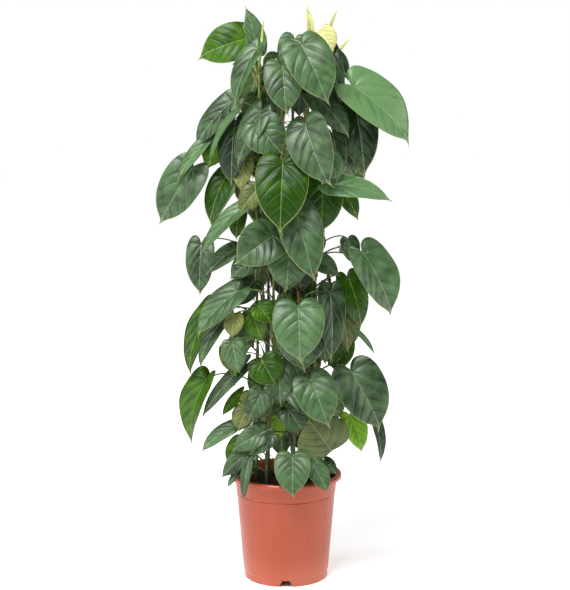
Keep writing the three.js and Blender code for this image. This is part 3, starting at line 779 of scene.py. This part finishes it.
def make_sheaths(places):
    """Each sheath is a dry pointed strip, 0.5 mm thick, that stands off the stem and curls."""
    rows = 7
    strip, faces = [], []
    for side in (0.5, 0.0):
        for i in range(rows):
            t = i / (rows - 1)
            half = 4.2 * (1 - t) ** 0.7 + 0.25
            for s in (-1, 0, 1):
                strip.append((4.4 + 9 * t * t - 1.1 * abs(s) + side, s * half, -2 + 26 * t))
    for shell in (0, 1):
        for i in range(rows - 1):
            for k in (0, 1):
                a = shell * rows * 3 + i * 3 + k
                quad = [a, a + 1, a + 4, a + 3]
                faces.append(quad if shell == 0 else quad[::-1])
    loop = [i * 3 for i in range(rows)] + [(rows - 1) * 3 + 1] + [i * 3 + 2 for i in range(rows)][::-1] + [1]
    for a, b in zip(loop, loop[1:] + loop[:1]):
        faces.append([a, b, b + rows * 3, a + rows * 3])
    skin = Skin()
    skin.take(strip, faces)
    sheath = skin.piece("sheath_shape", [])
    points = bpy.data.meshes.new("stem_nodes")
    points.from_pydata([tuple(p * MM) for p, _, _ in places], [], [])
    turns = np.array([(0.0, 0.0, math.radians(a)) for _, a, _ in places])
    points.attributes.new("turn", "FLOAT_VECTOR", "POINT").data.foreach_set("vector", turns.ravel())
    points.attributes.new("size", "FLOAT", "POINT").data.foreach_set("value", [s for _, _, s in places])
    made = grown(shown("stem_nodes", points), sheath_tree(), {"Sheath": sheath, "Material": SHEATH_SKIN})
    bpy.data.objects.remove(sheath)
    settle(shown("papery_sheaths", made), "stem_skin")


# ---- leaves ----

# Half of the blade's outline, from the notch at the petiole round a lobe to the drip tip.
HALF_OUTLINE = [
    (0, -0.03), (0.025, -0.075), (0.09, -0.145), (0.2, -0.185), (0.32, -0.17), (0.42, -0.095), (0.487, 0.04),
    (0.508, 0.2), (0.492, 0.36), (0.44, 0.51), (0.352, 0.645), (0.24, 0.755), (0.13, 0.83), (0.06, 0.88),
    (0.025, 0.92), (0.011, 0.96), (0, 1),
]
BLADE = {"thickness": 0.55, "bow": 0.08, "quilt": 1.7, "veins": 5}
PETIOLE = {"radius": 1.7, "drop": 22}

# name, where the petiole joins, the drip tip, width, (azimuth from -Y towards +X, elevation), fold, age, tone. The
# tone is partly each leaf's own shade of green and partly painted light: low for leaves in the shadow of others, high
# for leaves that face up into the light.
LEAVES = [
    ("leaf_01", (32, -118, 1144), (88, -150, 1024), 97, (5, 22), 8, "mature", 0.55),
    ("leaf_02", (-7, -110, 1102), (3, -140, 1003), 80, (-3, 22), 8, "mature", 0.45),
    # leaf_03's tone of 1.3 is a painted sheen on a leaf that faces up into the light
    ("leaf_03", (140, -75, 1060), (264, -60, 940), 116, (26, 25), 15, "mature", 1.3),
    # leaf_04's tone of 0 is painted shadow: it hangs in the shade of leaf_03
    ("leaf_04", (144, -48, 1014), (163, -75, 870), 80, (5, 10), 8, "mature", 0.0),
    ("leaf_05", (40, -128, 982), (90, -166, 860), 96, (-25, 20), 16, "mature", 0.3),
    ("leaf_06", (-7, -134, 905), (-12, -170, 765), 108, (0, 22), 6, "vivid", 0.0),
    ("leaf_07", (20, -116, 806), (60, -152, 664), 90, (4, 15), 10, "mature", 0.4),
    ("leaf_08", (25, -126, 610), (30, -160, 496), 107, (0, 20), 6, "mature", 0.75),
    ("leaf_09", (52, -126, 459), (90, -156, 363), 88, (5, 20), 6, "mature", 0.6),
    ("leaf_10", (13, -116, 292), (14, -148, 211), 76, (0, 20), 8, "mature", 0.65),
    ("leaf_11", (161, -84, 717), (225, -90, 584), 100, (32, 15), 18, "mature", 0.55),
    ("leaf_12", (138, -98, 469), (200, -112, 344), 112, (12, 20), 14, "mature", 0.3),
    ("leaf_13", (-28, -112, 757), (-107, -136, 701), 96, (-8, 18), 12, "mature", 0.45),
    ("leaf_14", (-197, -34, 888), (-269, -30, 768), 92, (-12, 12), 14, "mature", 0.5),
    ("leaf_15", (-101, -95, 640), (-190, -104, 544), 70, (-36, 22), 14, "mature", 0.5),
    ("leaf_16", (-170, -48, 442), (-205, -62, 300), 98, (-57, 12), 20, "vivid", 0.25),
    ("leaf_17", (-178, -36, 729), (-181, -48, 620), 62, (-10, 12), 10, "mature", 0.35),
    # leaf_18's tone of 1.3 is a painted sheen on a leaf that faces up into the light
    ("leaf_18", (91, -106, 863), (224, -100, 828), 70, (20, 50), 10, "mature", 1.3),
    ("leaf_19", (-84, -6, 1156), (-187, 4, 1114), 88, (-5, 25), 12, "vivid", 0.25),
    ("leaf_20", (-59, -92, 1138), (-108, -110, 1014), 56, (-42, 10), 22, "mature", 0.5),
    ("leaf_21", (-58, -100, 984), (-4, -112, 922), 90, (-5, 20), 14, "mature", 0.5),
    ("leaf_22", (-113, -36, 1028), (-193, -36, 928), 60, (-30, 15), 12, "mature", 0.3),
    ("leaf_23", (91, -100, 636), (93, -128, 493), 62, (20, 8), 14, "mature", 0.05),
    ("leaf_24", (131, -62, 660), (159, -70, 551), 68, (30, 8), 10, "vivid", 0.0),
    ("leaf_25", (95, -88, 300), (42, -98, 374), 100, (0, 4), 4, "bronze", 0.25),
    ("leaf_26", (-126, -32, 872), (-161, -46, 769), 58, (-25, 12), 14, "vivid", -0.05),
    ("leaf_27", (104, 62, 1096), (190, 100, 1008), 92, (100, 30), 10, "mature", 0.45),
    ("leaf_28", (44, 116, 1124), (66, 168, 1010), 96, (165, 25), 8, "mature", 0.5),
    ("leaf_29", (-54, 110, 1094), (-86, 164, 988), 94, (204, 25), 10, "mature", 0.35),
    ("leaf_30", (-118, 44, 990), (-186, 76, 896), 84, (250, 20), 12, "mature", 0.55),
    ("leaf_31", (112, 84, 930), (156, 136, 812), 96, (140, 20), 8, "vivid", 0.35),
    ("leaf_32", (-6, 128, 948), (-14, 170, 816), 104, (180, 22), 6, "mature", 0.6),
    ("leaf_33", (-108, 92, 852), (-168, 126, 744), 90, (232, 20), 10, "mature", 0.4),
    ("leaf_34", (30, 122, 772), (46, 166, 646), 98, (170, 18), 8, "mature", 0.5),
    ("leaf_35", (127, 36, 702), (190, 58, 606), 82, (102, 22), 11, "mature", 0.35),
    ("leaf_36", (-52, 122, 704), (-72, 166, 578), 100, (198, 20), 8, "vivid", 0.3),
    ("leaf_37", (-132, 34, 580), (-190, 54, 466), 70, (250, 18), 12, "mature", 0.5),
    ("leaf_38", (104, 92, 590), (148, 132, 470), 94, (134, 20), 10, "mature", 0.55),
    ("leaf_39", (8, 128, 540), (14, 166, 418), 98, (178, 20), 8, "mature", 0.45),
    ("leaf_40", (-80, 94, 528), (-110, 140, 430), 80, (218, 18), 10, "mature", 0.6),
    ("leaf_41", (82, 104, 400), (112, 138, 300), 82, (146, 20), 8, "mature", 0.4),
    ("leaf_42", (-24, 120, 350), (-34, 150, 252), 78, (190, 20), 8, "mature", 0.5),
]

# The smaller leaves between and behind those: base, tip, width, (azimuth, elevation), fold, age, tone; the tone is
# partly the leaf's own green and partly painted shade where a leaf hangs in shadow
SMALL_LEAVES = [
    ((-60, -30, 1135), (-83, -40, 1225), 48, (20, 10), 20, "mature", 0.75),
    ((17, -84, 1155), (2, -98, 1076), 62, (0, 15), 8, "mature", 0.6),
    ((72, -60, 1172), (98, -70, 1128), 50, (-10, 15), 8, "young", 0.6),
    ((52, -44, 1172), (46, -42, 1216), 22, (0, 10), 50, "young", 0.8),
    ((92, -60, 1130), (110, -72, 1003), 40, (10, 10), 14, "mature", 0.15),
    ((90, -10, 1128), (132, -14, 1070), 46, (20, 15), 12, "mature", 0.1),
    ((-70, 40, 1112), (-116, 36, 1101), 26, (-10, 20), 12, "mature", 0.2),
    ((-105, -70, 1005), (-163, -76, 893), 30, (-60, 15), 14, "mature", 0.7),
    ((-168, -44, 945), (-230, -52, 858), 34, (-30, 15), 20, "mature", 0.7),
    ((-105, -60, 986), (-113, -66, 846), 68, (-14, 12), 12, "mature", 0.1),
    ((-136, -38, 952), (-166, -44, 886), 58, (-20, 12), 12, "vivid", 0.3),
    ((-52, -90, 1010), (-103, -100, 892), 56, (-20, 15), 12, "mature", 0.4),
    ((-86, -62, 908), (-93, -70, 841), 44, (-10, 12), 12, "olive", 0.4),
    ((60, -88, 1040), (134, -104, 955), 60, (15, 20), 14, "mature", 0.3),
    ((96, -84, 962), (112, -92, 868), 50, (10, 12), 12, "mature", 0.1),
    ((128, -60, 935), (146, -64, 880), 50, (20, 12), 12, "mature", 0.2),
    ((112, -66, 854), (152, -70, 782), 44, (20, 15), 12, "vivid", 0.1),
    ((76, -78, 856), (72, -84, 754), 84, (10, 12), 10, "vivid", 0.0),
    ((88, -100, 925), (106, -108, 862), 44, (10, 18), 12, "mature", 0.6),
    ((-84, -78, 817), (-184, -88, 708), 46, (-40, 30), 14, "mature", 0.75),
    ((-60, -84, 850), (-98, -88, 800), 50, (-10, 15), 12, "olive", 0.05),
    ((-108, -60, 722), (-170, -66, 668), 44, (-30, 20), 20, "mature", 0.4),
    ((-70, -80, 706), (-118, -86, 662), 50, (-20, 15), 12, "mature", 0.2),
    ((-96, -60, 800), (-104, -66, 742), 40, (-20, 15), 12, "vivid", 0.15),
    ((6, -100, 728), (0, -112, 637), 84, (0, 15), 8, "mature", 0.5),
    ((-57, -92, 608), (-27, -100, 573), 52, (0, 35), 12, "vivid", 0.4),
    ((-70, -88, 592), (-47, -94, 530), 50, (-10, 15), 12, "vivid", 0.35),
    ((-78, -84, 560), (-92, -88, 525), 34, (-10, 15), 12, "mature", 0.7),
    ((-106, -104, 590), (-112, -110, 542), 44, (-10, 15), 12, "olive", 0.5),
    ((-111, -112, 533), (-96, -120, 469), 52, (-5, 18), 10, "mature", 0.6),
    ((-120, -90, 520), (-104, -96, 462), 46, (-10, 15), 12, "olive", 0.1),
    ((-104, -84, 500), (-107, -90, 432), 20, (-30, 15), 20, "vivid", 0.5),
    ((130, -60, 742), (140, -64, 690), 44, (20, 15), 12, "mature", 0.3),
    ((60, -70, 704), (114, -76, 668), 44, (10, 25), 12, "mature", 0.5),
    ((30, -108, 575), (38, -130, 472), 104, (0, 15), 8, "mature", 0.35),
    ((134, -70, 562), (190, -76, 497), 22, (60, 20), 12, "mature", 0.6),
    ((112, -64, 620), (132, -70, 500), 56, (15, 12), 12, "olive", 0.0),
    ((70, -80, 565), (84, -84, 478), 44, (10, 12), 12, "mature", 0.15),
    ((10, -84, 505), (30, -92, 446), 50, (0, 15), 12, "mature", 0.15),
    ((-162, -40, 594), (-208, -50, 444), 66, (-50, 10), 14, "vivid", 0.15),
    ((-128, -80, 582), (-185, -88, 470), 50, (-50, 15), 14, "mature", 0.4),
    ((-88, -84, 480), (-182, -92, 364), 36, (-30, 20), 14, "mature", 0.2),
    ((-50, -100, 494), (-19, -108, 441), 76, (0, 25), 15, "vivid", 0.15),
    ((-14, -92, 478), (-11, -104, 395), 66, (0, 15), 10, "mature", 0.35),
    ((-50, -100, 428), (-81, -108, 363), 54, (-5, 18), 10, "mature", 0.5),
    ((-93, -60, 418), (-138, -66, 366), 26, (-20, 20), 14, "vivid", 0.5),
    ((-76, -70, 412), (-92, -74, 380), 38, (-10, 20), 12, "olive", 0.7),
    ((-84, -88, 388), (-100, -94, 340), 50, (-10, 15), 12, "olive", 0.15),
    ((-112, -72, 347), (-183, -80, 293), 38, (-20, 40), 14, "mature", 0.85),
    ((-48, -104, 344), (-116, -112, 303), 50, (-10, 18), 12, "mature", 0.5),
    ((-30, -108, 336), (-82, -114, 294), 40, (-5, 18), 12, "mature", 0.3),
    ((-94, -86, 318), (-126, -90, 268), 44, (-15, 18), 12, "vivid", 0.3),
    ((-80, -104, 300), (-139, -110, 244), 40, (-15, 18), 14, "mature", 0.4),
    ((-96, -108, 262), (-125, -112, 223), 18, (-30, 20), 16, "mature", 0.3),
    ((-78, -118, 283), (-89, -132, 198), 24, (-20, 12), 20, "mature", 0.35),
    ((-70, -70, 262), (-112, -76, 240), 34, (-10, 25), 14, "mature", 0.1),
    ((57, -102, 274), (91, -112, 212), 44, (10, 18), 12, "mature", 0.5),
    ((82, -70, 272), (108, -84, 246), 30, (20, 25), 14, "mature", 0.3),
    ((137, -60, 366), (163, -66, 286), 56, (20, 15), 12, "lime", 0.2),
    ((183, -70, 374), (201, -78, 262), 34, (40, 15), 26, "mature", 0.15),
    ((6, -86, 384), (48, -94, 322), 54, (5, 15), 12, "mature", 0.2),
    ((12, -108, 424), (98, -126, 352), 36, (5, 20), 14, "mature", 0.2),
    ((-16, -30, 352), (-24, -34, 298), 38, (0, 20), 12, "lime", 0.6),
    ((28, -50, 352), (30, -56, 286), 50, (0, 12), 12, "mature", 0.1),
    ((100, -50, 562), (96, -60, 470), 74, (10, 12), 12, "vivid", 0.05),
    ((114, -48, 532), (106, -54, 455), 66, (10, 12), 12, "vivid", 0.1),
    ((-70, -50, 652), (-104, -56, 600), 50, (-15, 12), 12, "mature", 0.15),
    ((-15, -40, 692), (-12, -46, 618), 46, (0, 12), 12, "mature", 0.1),
    ((30, -44, 1102), (27, -50, 992), 92, (5, 12), 10, "mature", 0.0),
    ((34, -52, 866), (40, -58, 786), 60, (5, 12), 10, "mature", 0.1),
]


def blade_axes(base, tip, facing):
    """Along the midrib, across it, and out of the upper side."""
    along = np.array(tip, float) - np.array(base, float)
    length = np.linalg.norm(along)
    along /= length
    azimuth, elevation = facing
    out = around(math.cos(math.radians(elevation)), azimuth - 90, math.sin(math.radians(elevation)))
    out = unit(out - along * out.dot(along))
    return along, np.cross(along, out), out, length


def half_veins(x, y):
    """How many lateral veins lie between the petiole and this place, x and y as shares."""
    arch = 0.24 * x + 0.22 * x * x
    angle = np.arctan2(y, np.maximum(x, 1e-6) * 0.42)
    edge = np.arctan2(arch, np.maximum(x, 1e-6) * 0.42)
    return BLADE["veins"] * np.where(y > arch, y - arch, (angle - edge) * 0.24)


def blade_skin(leaf, spokes, rings, rng):
    """Points and facts of a blade's upper and lower sides."""
    base, tip, width, facing, fold, age, tone = leaf
    along, across, out, length = blade_axes(base, tip, facing)
    lobes = 0.4 if age == "bronze" else 1.0
    half = smooth_line([(x, y * lobes if y < 0 else y) for x, y in HALF_OUTLINE], spokes // 2 + 1)
    if age == "bronze":
        half[:, 0] *= 1 + 0.5 * np.clip(half[:, 1], 0, 1)
    lean = rng.uniform(-0.05, 0.05)
    outline = np.vstack([half, np.stack([-half[-2:0:-1, 0], half[-2:0:-1, 1]], axis=1)])
    share = (np.arange(1, rings + 1) / rings)[:, None] ** 0.92
    x = (outline[None, :, 0] * share).ravel()
    y = (outline[None, :, 1] * share).ravel()
    rim = np.broadcast_to(share, (rings, spokes)).ravel()
    x, y, rim = (np.concatenate([[0.0], v]) for v in (x, y, rim))
    lift = math.tan(math.radians(fold))
    a = x * width * math.cos(math.radians(fold))
    off = np.abs(a)
    b = y * length
    veins = half_veins(2 * np.abs(x), y)
    bow = BLADE["bow"] * np.where(y > 0, 4 * y * (1 - y), 2 * y) * length
    size = min(1.0, width / 80)
    rise = bow + np.sqrt(off**2 + 4) * lift - 2 * lift
    pillow = 0.5 - 0.5 * np.cos(2 * math.pi * veins)
    quilt = BLADE["quilt"] * size * pillow * np.clip(off / 12, 0, 1) * (1 - rim**3) * (1.3 - rim)
    turn = np.arctan2(x, y)
    phase = rng.uniform(0, 6.28, 4)
    ripple = (np.sin(3 * turn + phase[0]) * 2.2 + np.sin(5 * turn + phase[1]) * 1.4) * size * rim**2.5
    ripple += np.sin(9 * turn + phase[2]) * 0.6 * size * rim**5
    ripple *= np.clip(1.6 - 1.5 * y, 0.15, 1)
    droop = -0.045 * width * np.clip((rim - 0.5) / 0.5, 0, 1) ** 2
    hook = -0.06 * length * np.clip((y - 0.78) / 0.22, 0, 1) ** 2 * rng.uniform(0.2, 1.5)
    twist = a * y * rng.uniform(-0.12, 0.12)
    shape = rise + quilt + ripple + droop + hook + twist
    groove = 0.9 * size * np.exp(-((off / 2.0) ** 2)) * np.clip(1.05 - y, 0, 1)
    a = a + lean * width * np.clip(y, 0, 1) ** 2 * np.clip(1 - y, 0, 1) * 2
    # the drip tip curls to one side
    a = a - np.sign(lean) * 0.05 * width * np.clip((y - 0.86) / 0.14, 0, 1) ** 2
    thick = BLADE["thickness"] * (1 - rim**4)
    ridge = 1.3 * size * np.exp(-((off / 1.8) ** 2)) * np.clip(1.02 - y, 0, 1) * (1 - rim**6)
    ribs = 0.35 * size * np.clip(1 - 4 * np.abs(np.mod(veins + 0.5, 1) - 0.5), 0, 1) * (1 - rim**4)
    flat = np.array(base, float) + np.outer(b, along) + np.outer(a, across)
    upper = flat + np.outer(shape - groove * (1 - rim**6) + thick / 2, out)
    lower = flat + np.outer(shape - groove * (1 - rim**6) - thick / 2 - ridge - ribs, out)
    inner = 1 + (rings - 1) * spokes
    points = np.vstack([upper, lower[:inner]])
    facts = {
        "vein": np.concatenate([veins, veins[:inner]]),
        "mid": np.concatenate([off, off[:inner]]),
        "rim": np.concatenate([rim, rim[:inner]]),
        "drip": np.clip((np.concatenate([y, y[:inner]]) - 0.86) / 0.14, 0, 1),
        "tone": tone * (0.78 if age == "mature" else 1.0),
    }
    return points, facts


def blade_faces(spokes, rings):
    """Faces of the upper side, then of the underside, which share the margin."""
    k = np.arange(spokes)
    after = (k + 1) % spokes
    upper = [[0, 1 + i, 1 + j] for i, j in zip(k, after)]
    for r in range(rings - 1):
        a = 1 + r * spokes
        upper += np.stack([a + k, a + spokes + k, a + spokes + after, a + after], axis=1).tolist()
    start = 1 + rings * spokes
    lower = [[start, start + 1 + j, start + 1 + i] for i, j in zip(k, after)]
    for r in range(rings - 1):
        a = start + 1 + r * spokes
        b = a + spokes if r < rings - 2 else 1 + (rings - 1) * spokes
        lower += np.stack([a + k, a + after, b + after, b + k], axis=1).tolist()
    return upper, lower


def petiole_path(leaf):
    """The leaf's stalk leaves its vine outwards and a little up, and comes to the blade from behind."""
    base = np.array(leaf[0], float)
    along, _, out, _ = blade_axes(leaf[0], leaf[1], leaf[3])
    vine = nearest_vine(base)
    start = vine_point(vine, min(base[2] - PETIOLE["drop"], climb_top(vine)))
    outward = unit(start * (1, 1, 0))
    start = start + outward * 2.0
    reach = np.linalg.norm(base - start)
    leave = start + outward * reach * 0.3 + np.array([0, 0, reach * 0.3])
    arrive = base - along * reach * 0.22 - out * reach * 0.2
    return bezier(start, leave, arrive, base - out * 0.9, 16)


def take_leaf(skin, leaf, spokes, rings, rng, faces):
    points, facts = blade_skin(leaf, spokes, rings, rng)
    upper, lower = faces
    skin.take(points, upper, 0, **facts)
    # the underside uses the same points, so only its faces are added
    first = skin.count - len(points)
    skin.faces.extend([[int(i) + first for i in face] for face in lower])
    skin.slots.extend([1] * len(lower))
    path = petiole_path(leaf)
    scale = 0.75 + 0.25 * min(1, leaf[2] / 90)
    swell = np.interp(np.linspace(0, 1, 16), [0, 0.1, 0.8, 0.93, 1], [1.5, 1.05, 0.95, 1.2, 0.9])
    swell = swell * PETIOLE["radius"] * scale
    stalk, sides = along_paths([(path, swell)], 8)
    skin.take(stalk, sides, 2, mid=99.0, tone=leaf[6])


def leaf_materials(age):
    young = age in ("young", "lime")
    return [LEAF_UPPER[age], YOUNG_UNDER if young else LEAF_UNDER, SPEAR_SKIN if young else PETIOLE_SKIN]


def make_leaves():
    spokes, rings = 60, 22
    faces = blade_faces(spokes, rings)
    for n, (name, *leaf) in enumerate(LEAVES):
        skin = Skin()
        take_leaf(skin, leaf, spokes, rings, np.random.default_rng(100 + n), faces)
        age = leaf[5]
        slot = f"leaf_{age}"
        settle(skin.piece(f"{name}_blade", leaf_materials(age)), slot, name)


# how far out to the sides the back leaves reach, up to each height
SLIM = [(360, 62), (520, 58), (660, 92), (830, 56), (1010, 96), (1200, 62)]


def back_leaves():
    """Small leaves round the back and sides, spaced by the golden angle up each vine."""
    rng = np.random.default_rng(5)
    rows = []
    for n in range(46):
        azimuth = -12 + (n * GOLDEN) % 204
        z = 300 + 830 * ((n * 0.618) % 1)
        base = around(rng.uniform(84, 112), azimuth, z)
        drop = rng.uniform(58, 96)
        tip = around(math.hypot(base[0], base[1]) + rng.uniform(14, 34), azimuth + rng.uniform(-14, 14), z - drop)
        reach = next(limit for top, limit in SLIM if z < top)
        base[0] = np.clip(base[0], -reach, reach)
        tip[0] = np.clip(tip[0], -reach, reach)
        facing = (azimuth + 90 + rng.uniform(-18, 18), rng.uniform(10, 28))
        age = rng.choice(["mature", "mature", "mature", "vivid", "olive"])
        rows.append((
            tuple(base), tuple(tip), rng.uniform(48, 84), facing, rng.uniform(6, 16), str(age), rng.uniform(0.2, 0.65),
        ))
    return rows


def inner_leaves():
    """Leaves close to the stakes, which fill the column's core; their low tones are painted shade."""
    rng = np.random.default_rng(23)
    rows = []
    for n in range(84):
        azimuth = (n * GOLDEN) % 360
        z = 330 + 790 * ((n * 0.618 + 0.3) % 1)
        base = around(rng.uniform(18, 60), azimuth, z)
        tip = around(rng.uniform(30, 80), azimuth + rng.uniform(-30, 30), z - rng.uniform(60, 95))
        facing = (azimuth + 90 + rng.uniform(-40, 40), rng.uniform(-5, 25))
        age = rng.choice(["mature", "mature", "mature", "vivid"])
        # the low tone range is painted shade, so that these core leaves read dark
        width, fold, tone = rng.uniform(50, 78), rng.uniform(4, 14), rng.uniform(0.0, 0.3)
        gap = base[0] < -25 and 390 < z < 500
        if not gap:
            rows.append((tuple(base), tuple(tip), width, facing, fold, str(age), tone))
    return rows


def make_small_leaves():
    spokes, rings = 44, 9
    faces = blade_faces(spokes, rings)
    groups = {}
    for leaf in SMALL_LEAVES + back_leaves() + inner_leaves():
        vine = VINES.index(nearest_vine(np.array(leaf[0], float)))
        groups.setdefault((vine, leaf[5]), []).append(leaf)
    for n, ((vine, age), leaves) in enumerate(sorted(groups.items())):
        skin = Skin()
        rng = np.random.default_rng(400 + n)
        for leaf in leaves:
            take_leaf(skin, leaf, spokes, rings, rng, faces)
        slot = {"mature": "leaf_mature", "vivid": "leaf_vivid"}.get(age, "leaf_bronze")
        settle(skin.piece(f"side_leaves_{vine + 1}_{age}", leaf_materials(age)), slot)


# ---- floor, light and camera ----


def make_studio():
    floor = Skin()
    edge = [tuple(around(9000, 360 * k / 64, -0.5)) for k in range(64)]
    low = [(x, y, -20) for x, y, _ in edge]
    rest = [list(range(64)), list(range(64, 128))[::-1]]
    floor.take(edge + low, rest + [[(k + 1) % 64, k, 64 + k, 64 + (k + 1) % 64] for k in range(64)])
    material, tree, surface, place = finish("Studio floor, matt white paint")
    grain = add(tree, "ShaderNodeTexNoise", None, {"Vector": place, "Scale": 3.0}).outputs[0]
    tint = add(tree, "ShaderNodeMix", {"data_type": "RGBA"}, {
        0: grain, 6: paint("#fbfbfb"), 7: paint("#ffffff"),
    }).outputs[2]
    tree.links.new(tint, surface.inputs["Base Color"])
    surface.inputs["Roughness"].default_value = 0.9
    surface.inputs["Specular IOR Level"].default_value = 0.2
    surface.inputs["Emission Color"].default_value = paint("#ffffff")
    # the sweep is lit evenly, so the floor is as white far off as it is near the pot
    away = add(tree, "ShaderNodeVectorMath", {"operation": "LENGTH"}, {0: place}).outputs["Value"]
    glow = add(tree, "ShaderNodeMapRange", {"interpolation_type": "SMOOTHSTEP"}, {
        "Value": away, "From Min": 0.5, "From Max": 2.6, "To Min": 0.42, "To Max": 0.8,
    }).outputs[0]
    # no light gets in under the pot; the glow also fades out across the ring just outside the foot, which is a painted
    # contact shadow there
    open_floor = add(tree, "ShaderNodeMapRange", {"interpolation_type": "SMOOTHSTEP"}, {
        "Value": away, "From Min": 0.074, "From Max": 0.098, "To Min": 0.0, "To Max": 1.0,
    }).outputs[0]
    glow = add(tree, "ShaderNodeMath", {"operation": "MULTIPLY"}, {0: glow, 1: open_floor}).outputs[0]
    tree.links.new(glow, surface.inputs["Emission Strength"])
    floor.piece("studio_floor", [material], 30)

    world = bpy.data.worlds.new("Studio white")
    world.use_nodes = True
    sky = world.node_tree.nodes["Background"]
    sky.inputs["Color"].default_value = paint("#ffffff")
    # the sweep behind the plant is white, and lights it more softly than that
    seen = add(world.node_tree, "ShaderNodeLightPath").outputs["Is Camera Ray"]
    strength = add(world.node_tree, "ShaderNodeMapRange", None, {
        "Value": seen, "To Min": WORLD_STRENGTH, "To Max": 1.0,
    })
    world.node_tree.links.new(strength.outputs[0], sky.inputs["Strength"])
    bpy.context.scene.world = world

    middle = Vector((CAD_BOX[0])) * 0.5 + Vector((CAD_BOX[1])) * 0.5
    for name, where, size, power in LIGHTS:
        lamp = bpy.data.lights.new(name, "AREA")
        lamp.shape = "RECTANGLE"
        lamp.size, lamp.size_y = size
        lamp.energy = power
        box = shown(name, lamp)
        box.location = where
        box.rotation_euler = (middle - box.location).to_track_quat("-Z", "Y").to_euler()

    lens = bpy.data.cameras.new("Camera")
    lens.sensor_width = CAMERA["sensor"]
    lens.lens = CAMERA["lens"]
    camera = shown("Camera", lens)
    camera.location = CAMERA["place"]
    camera.rotation_euler = (math.radians(90 - CAMERA["down"]), 0, 0)
    bpy.context.scene.camera = camera
    bpy.context.scene.view_settings.view_transform = "Standard"


# metres, degrees below the level, and millimetres of lens and sensor
CAMERA = {"place": (-0.002, -3.6, 1.2), "down": 9.2, "lens": 104.58, "sensor": 36}
WORLD_STRENGTH = 0.18
LIGHTS = [
    ("Overhead softbox", (-0.7, -1.5, 3.2), (1.6, 1.2), 108),
    ("Front softbox", (-1.2, -3.2, 2.2), (1.4, 1.4), 22),
    ("Left softbox", (-2.4, -0.7, 1.2), (0.8, 2.4), 32),
    ("Right softbox", (2.4, -0.7, 1.2), (0.8, 2.4), 28),
    ("Back softbox", (0.8, 2.8, 2.4), (1.6, 1.4), 22),
]


make_studio()
make_pot()
make_soil()
make_support()
make_vines()
make_leaves()
make_small_leaves()

bpy.context.view_layer.update()
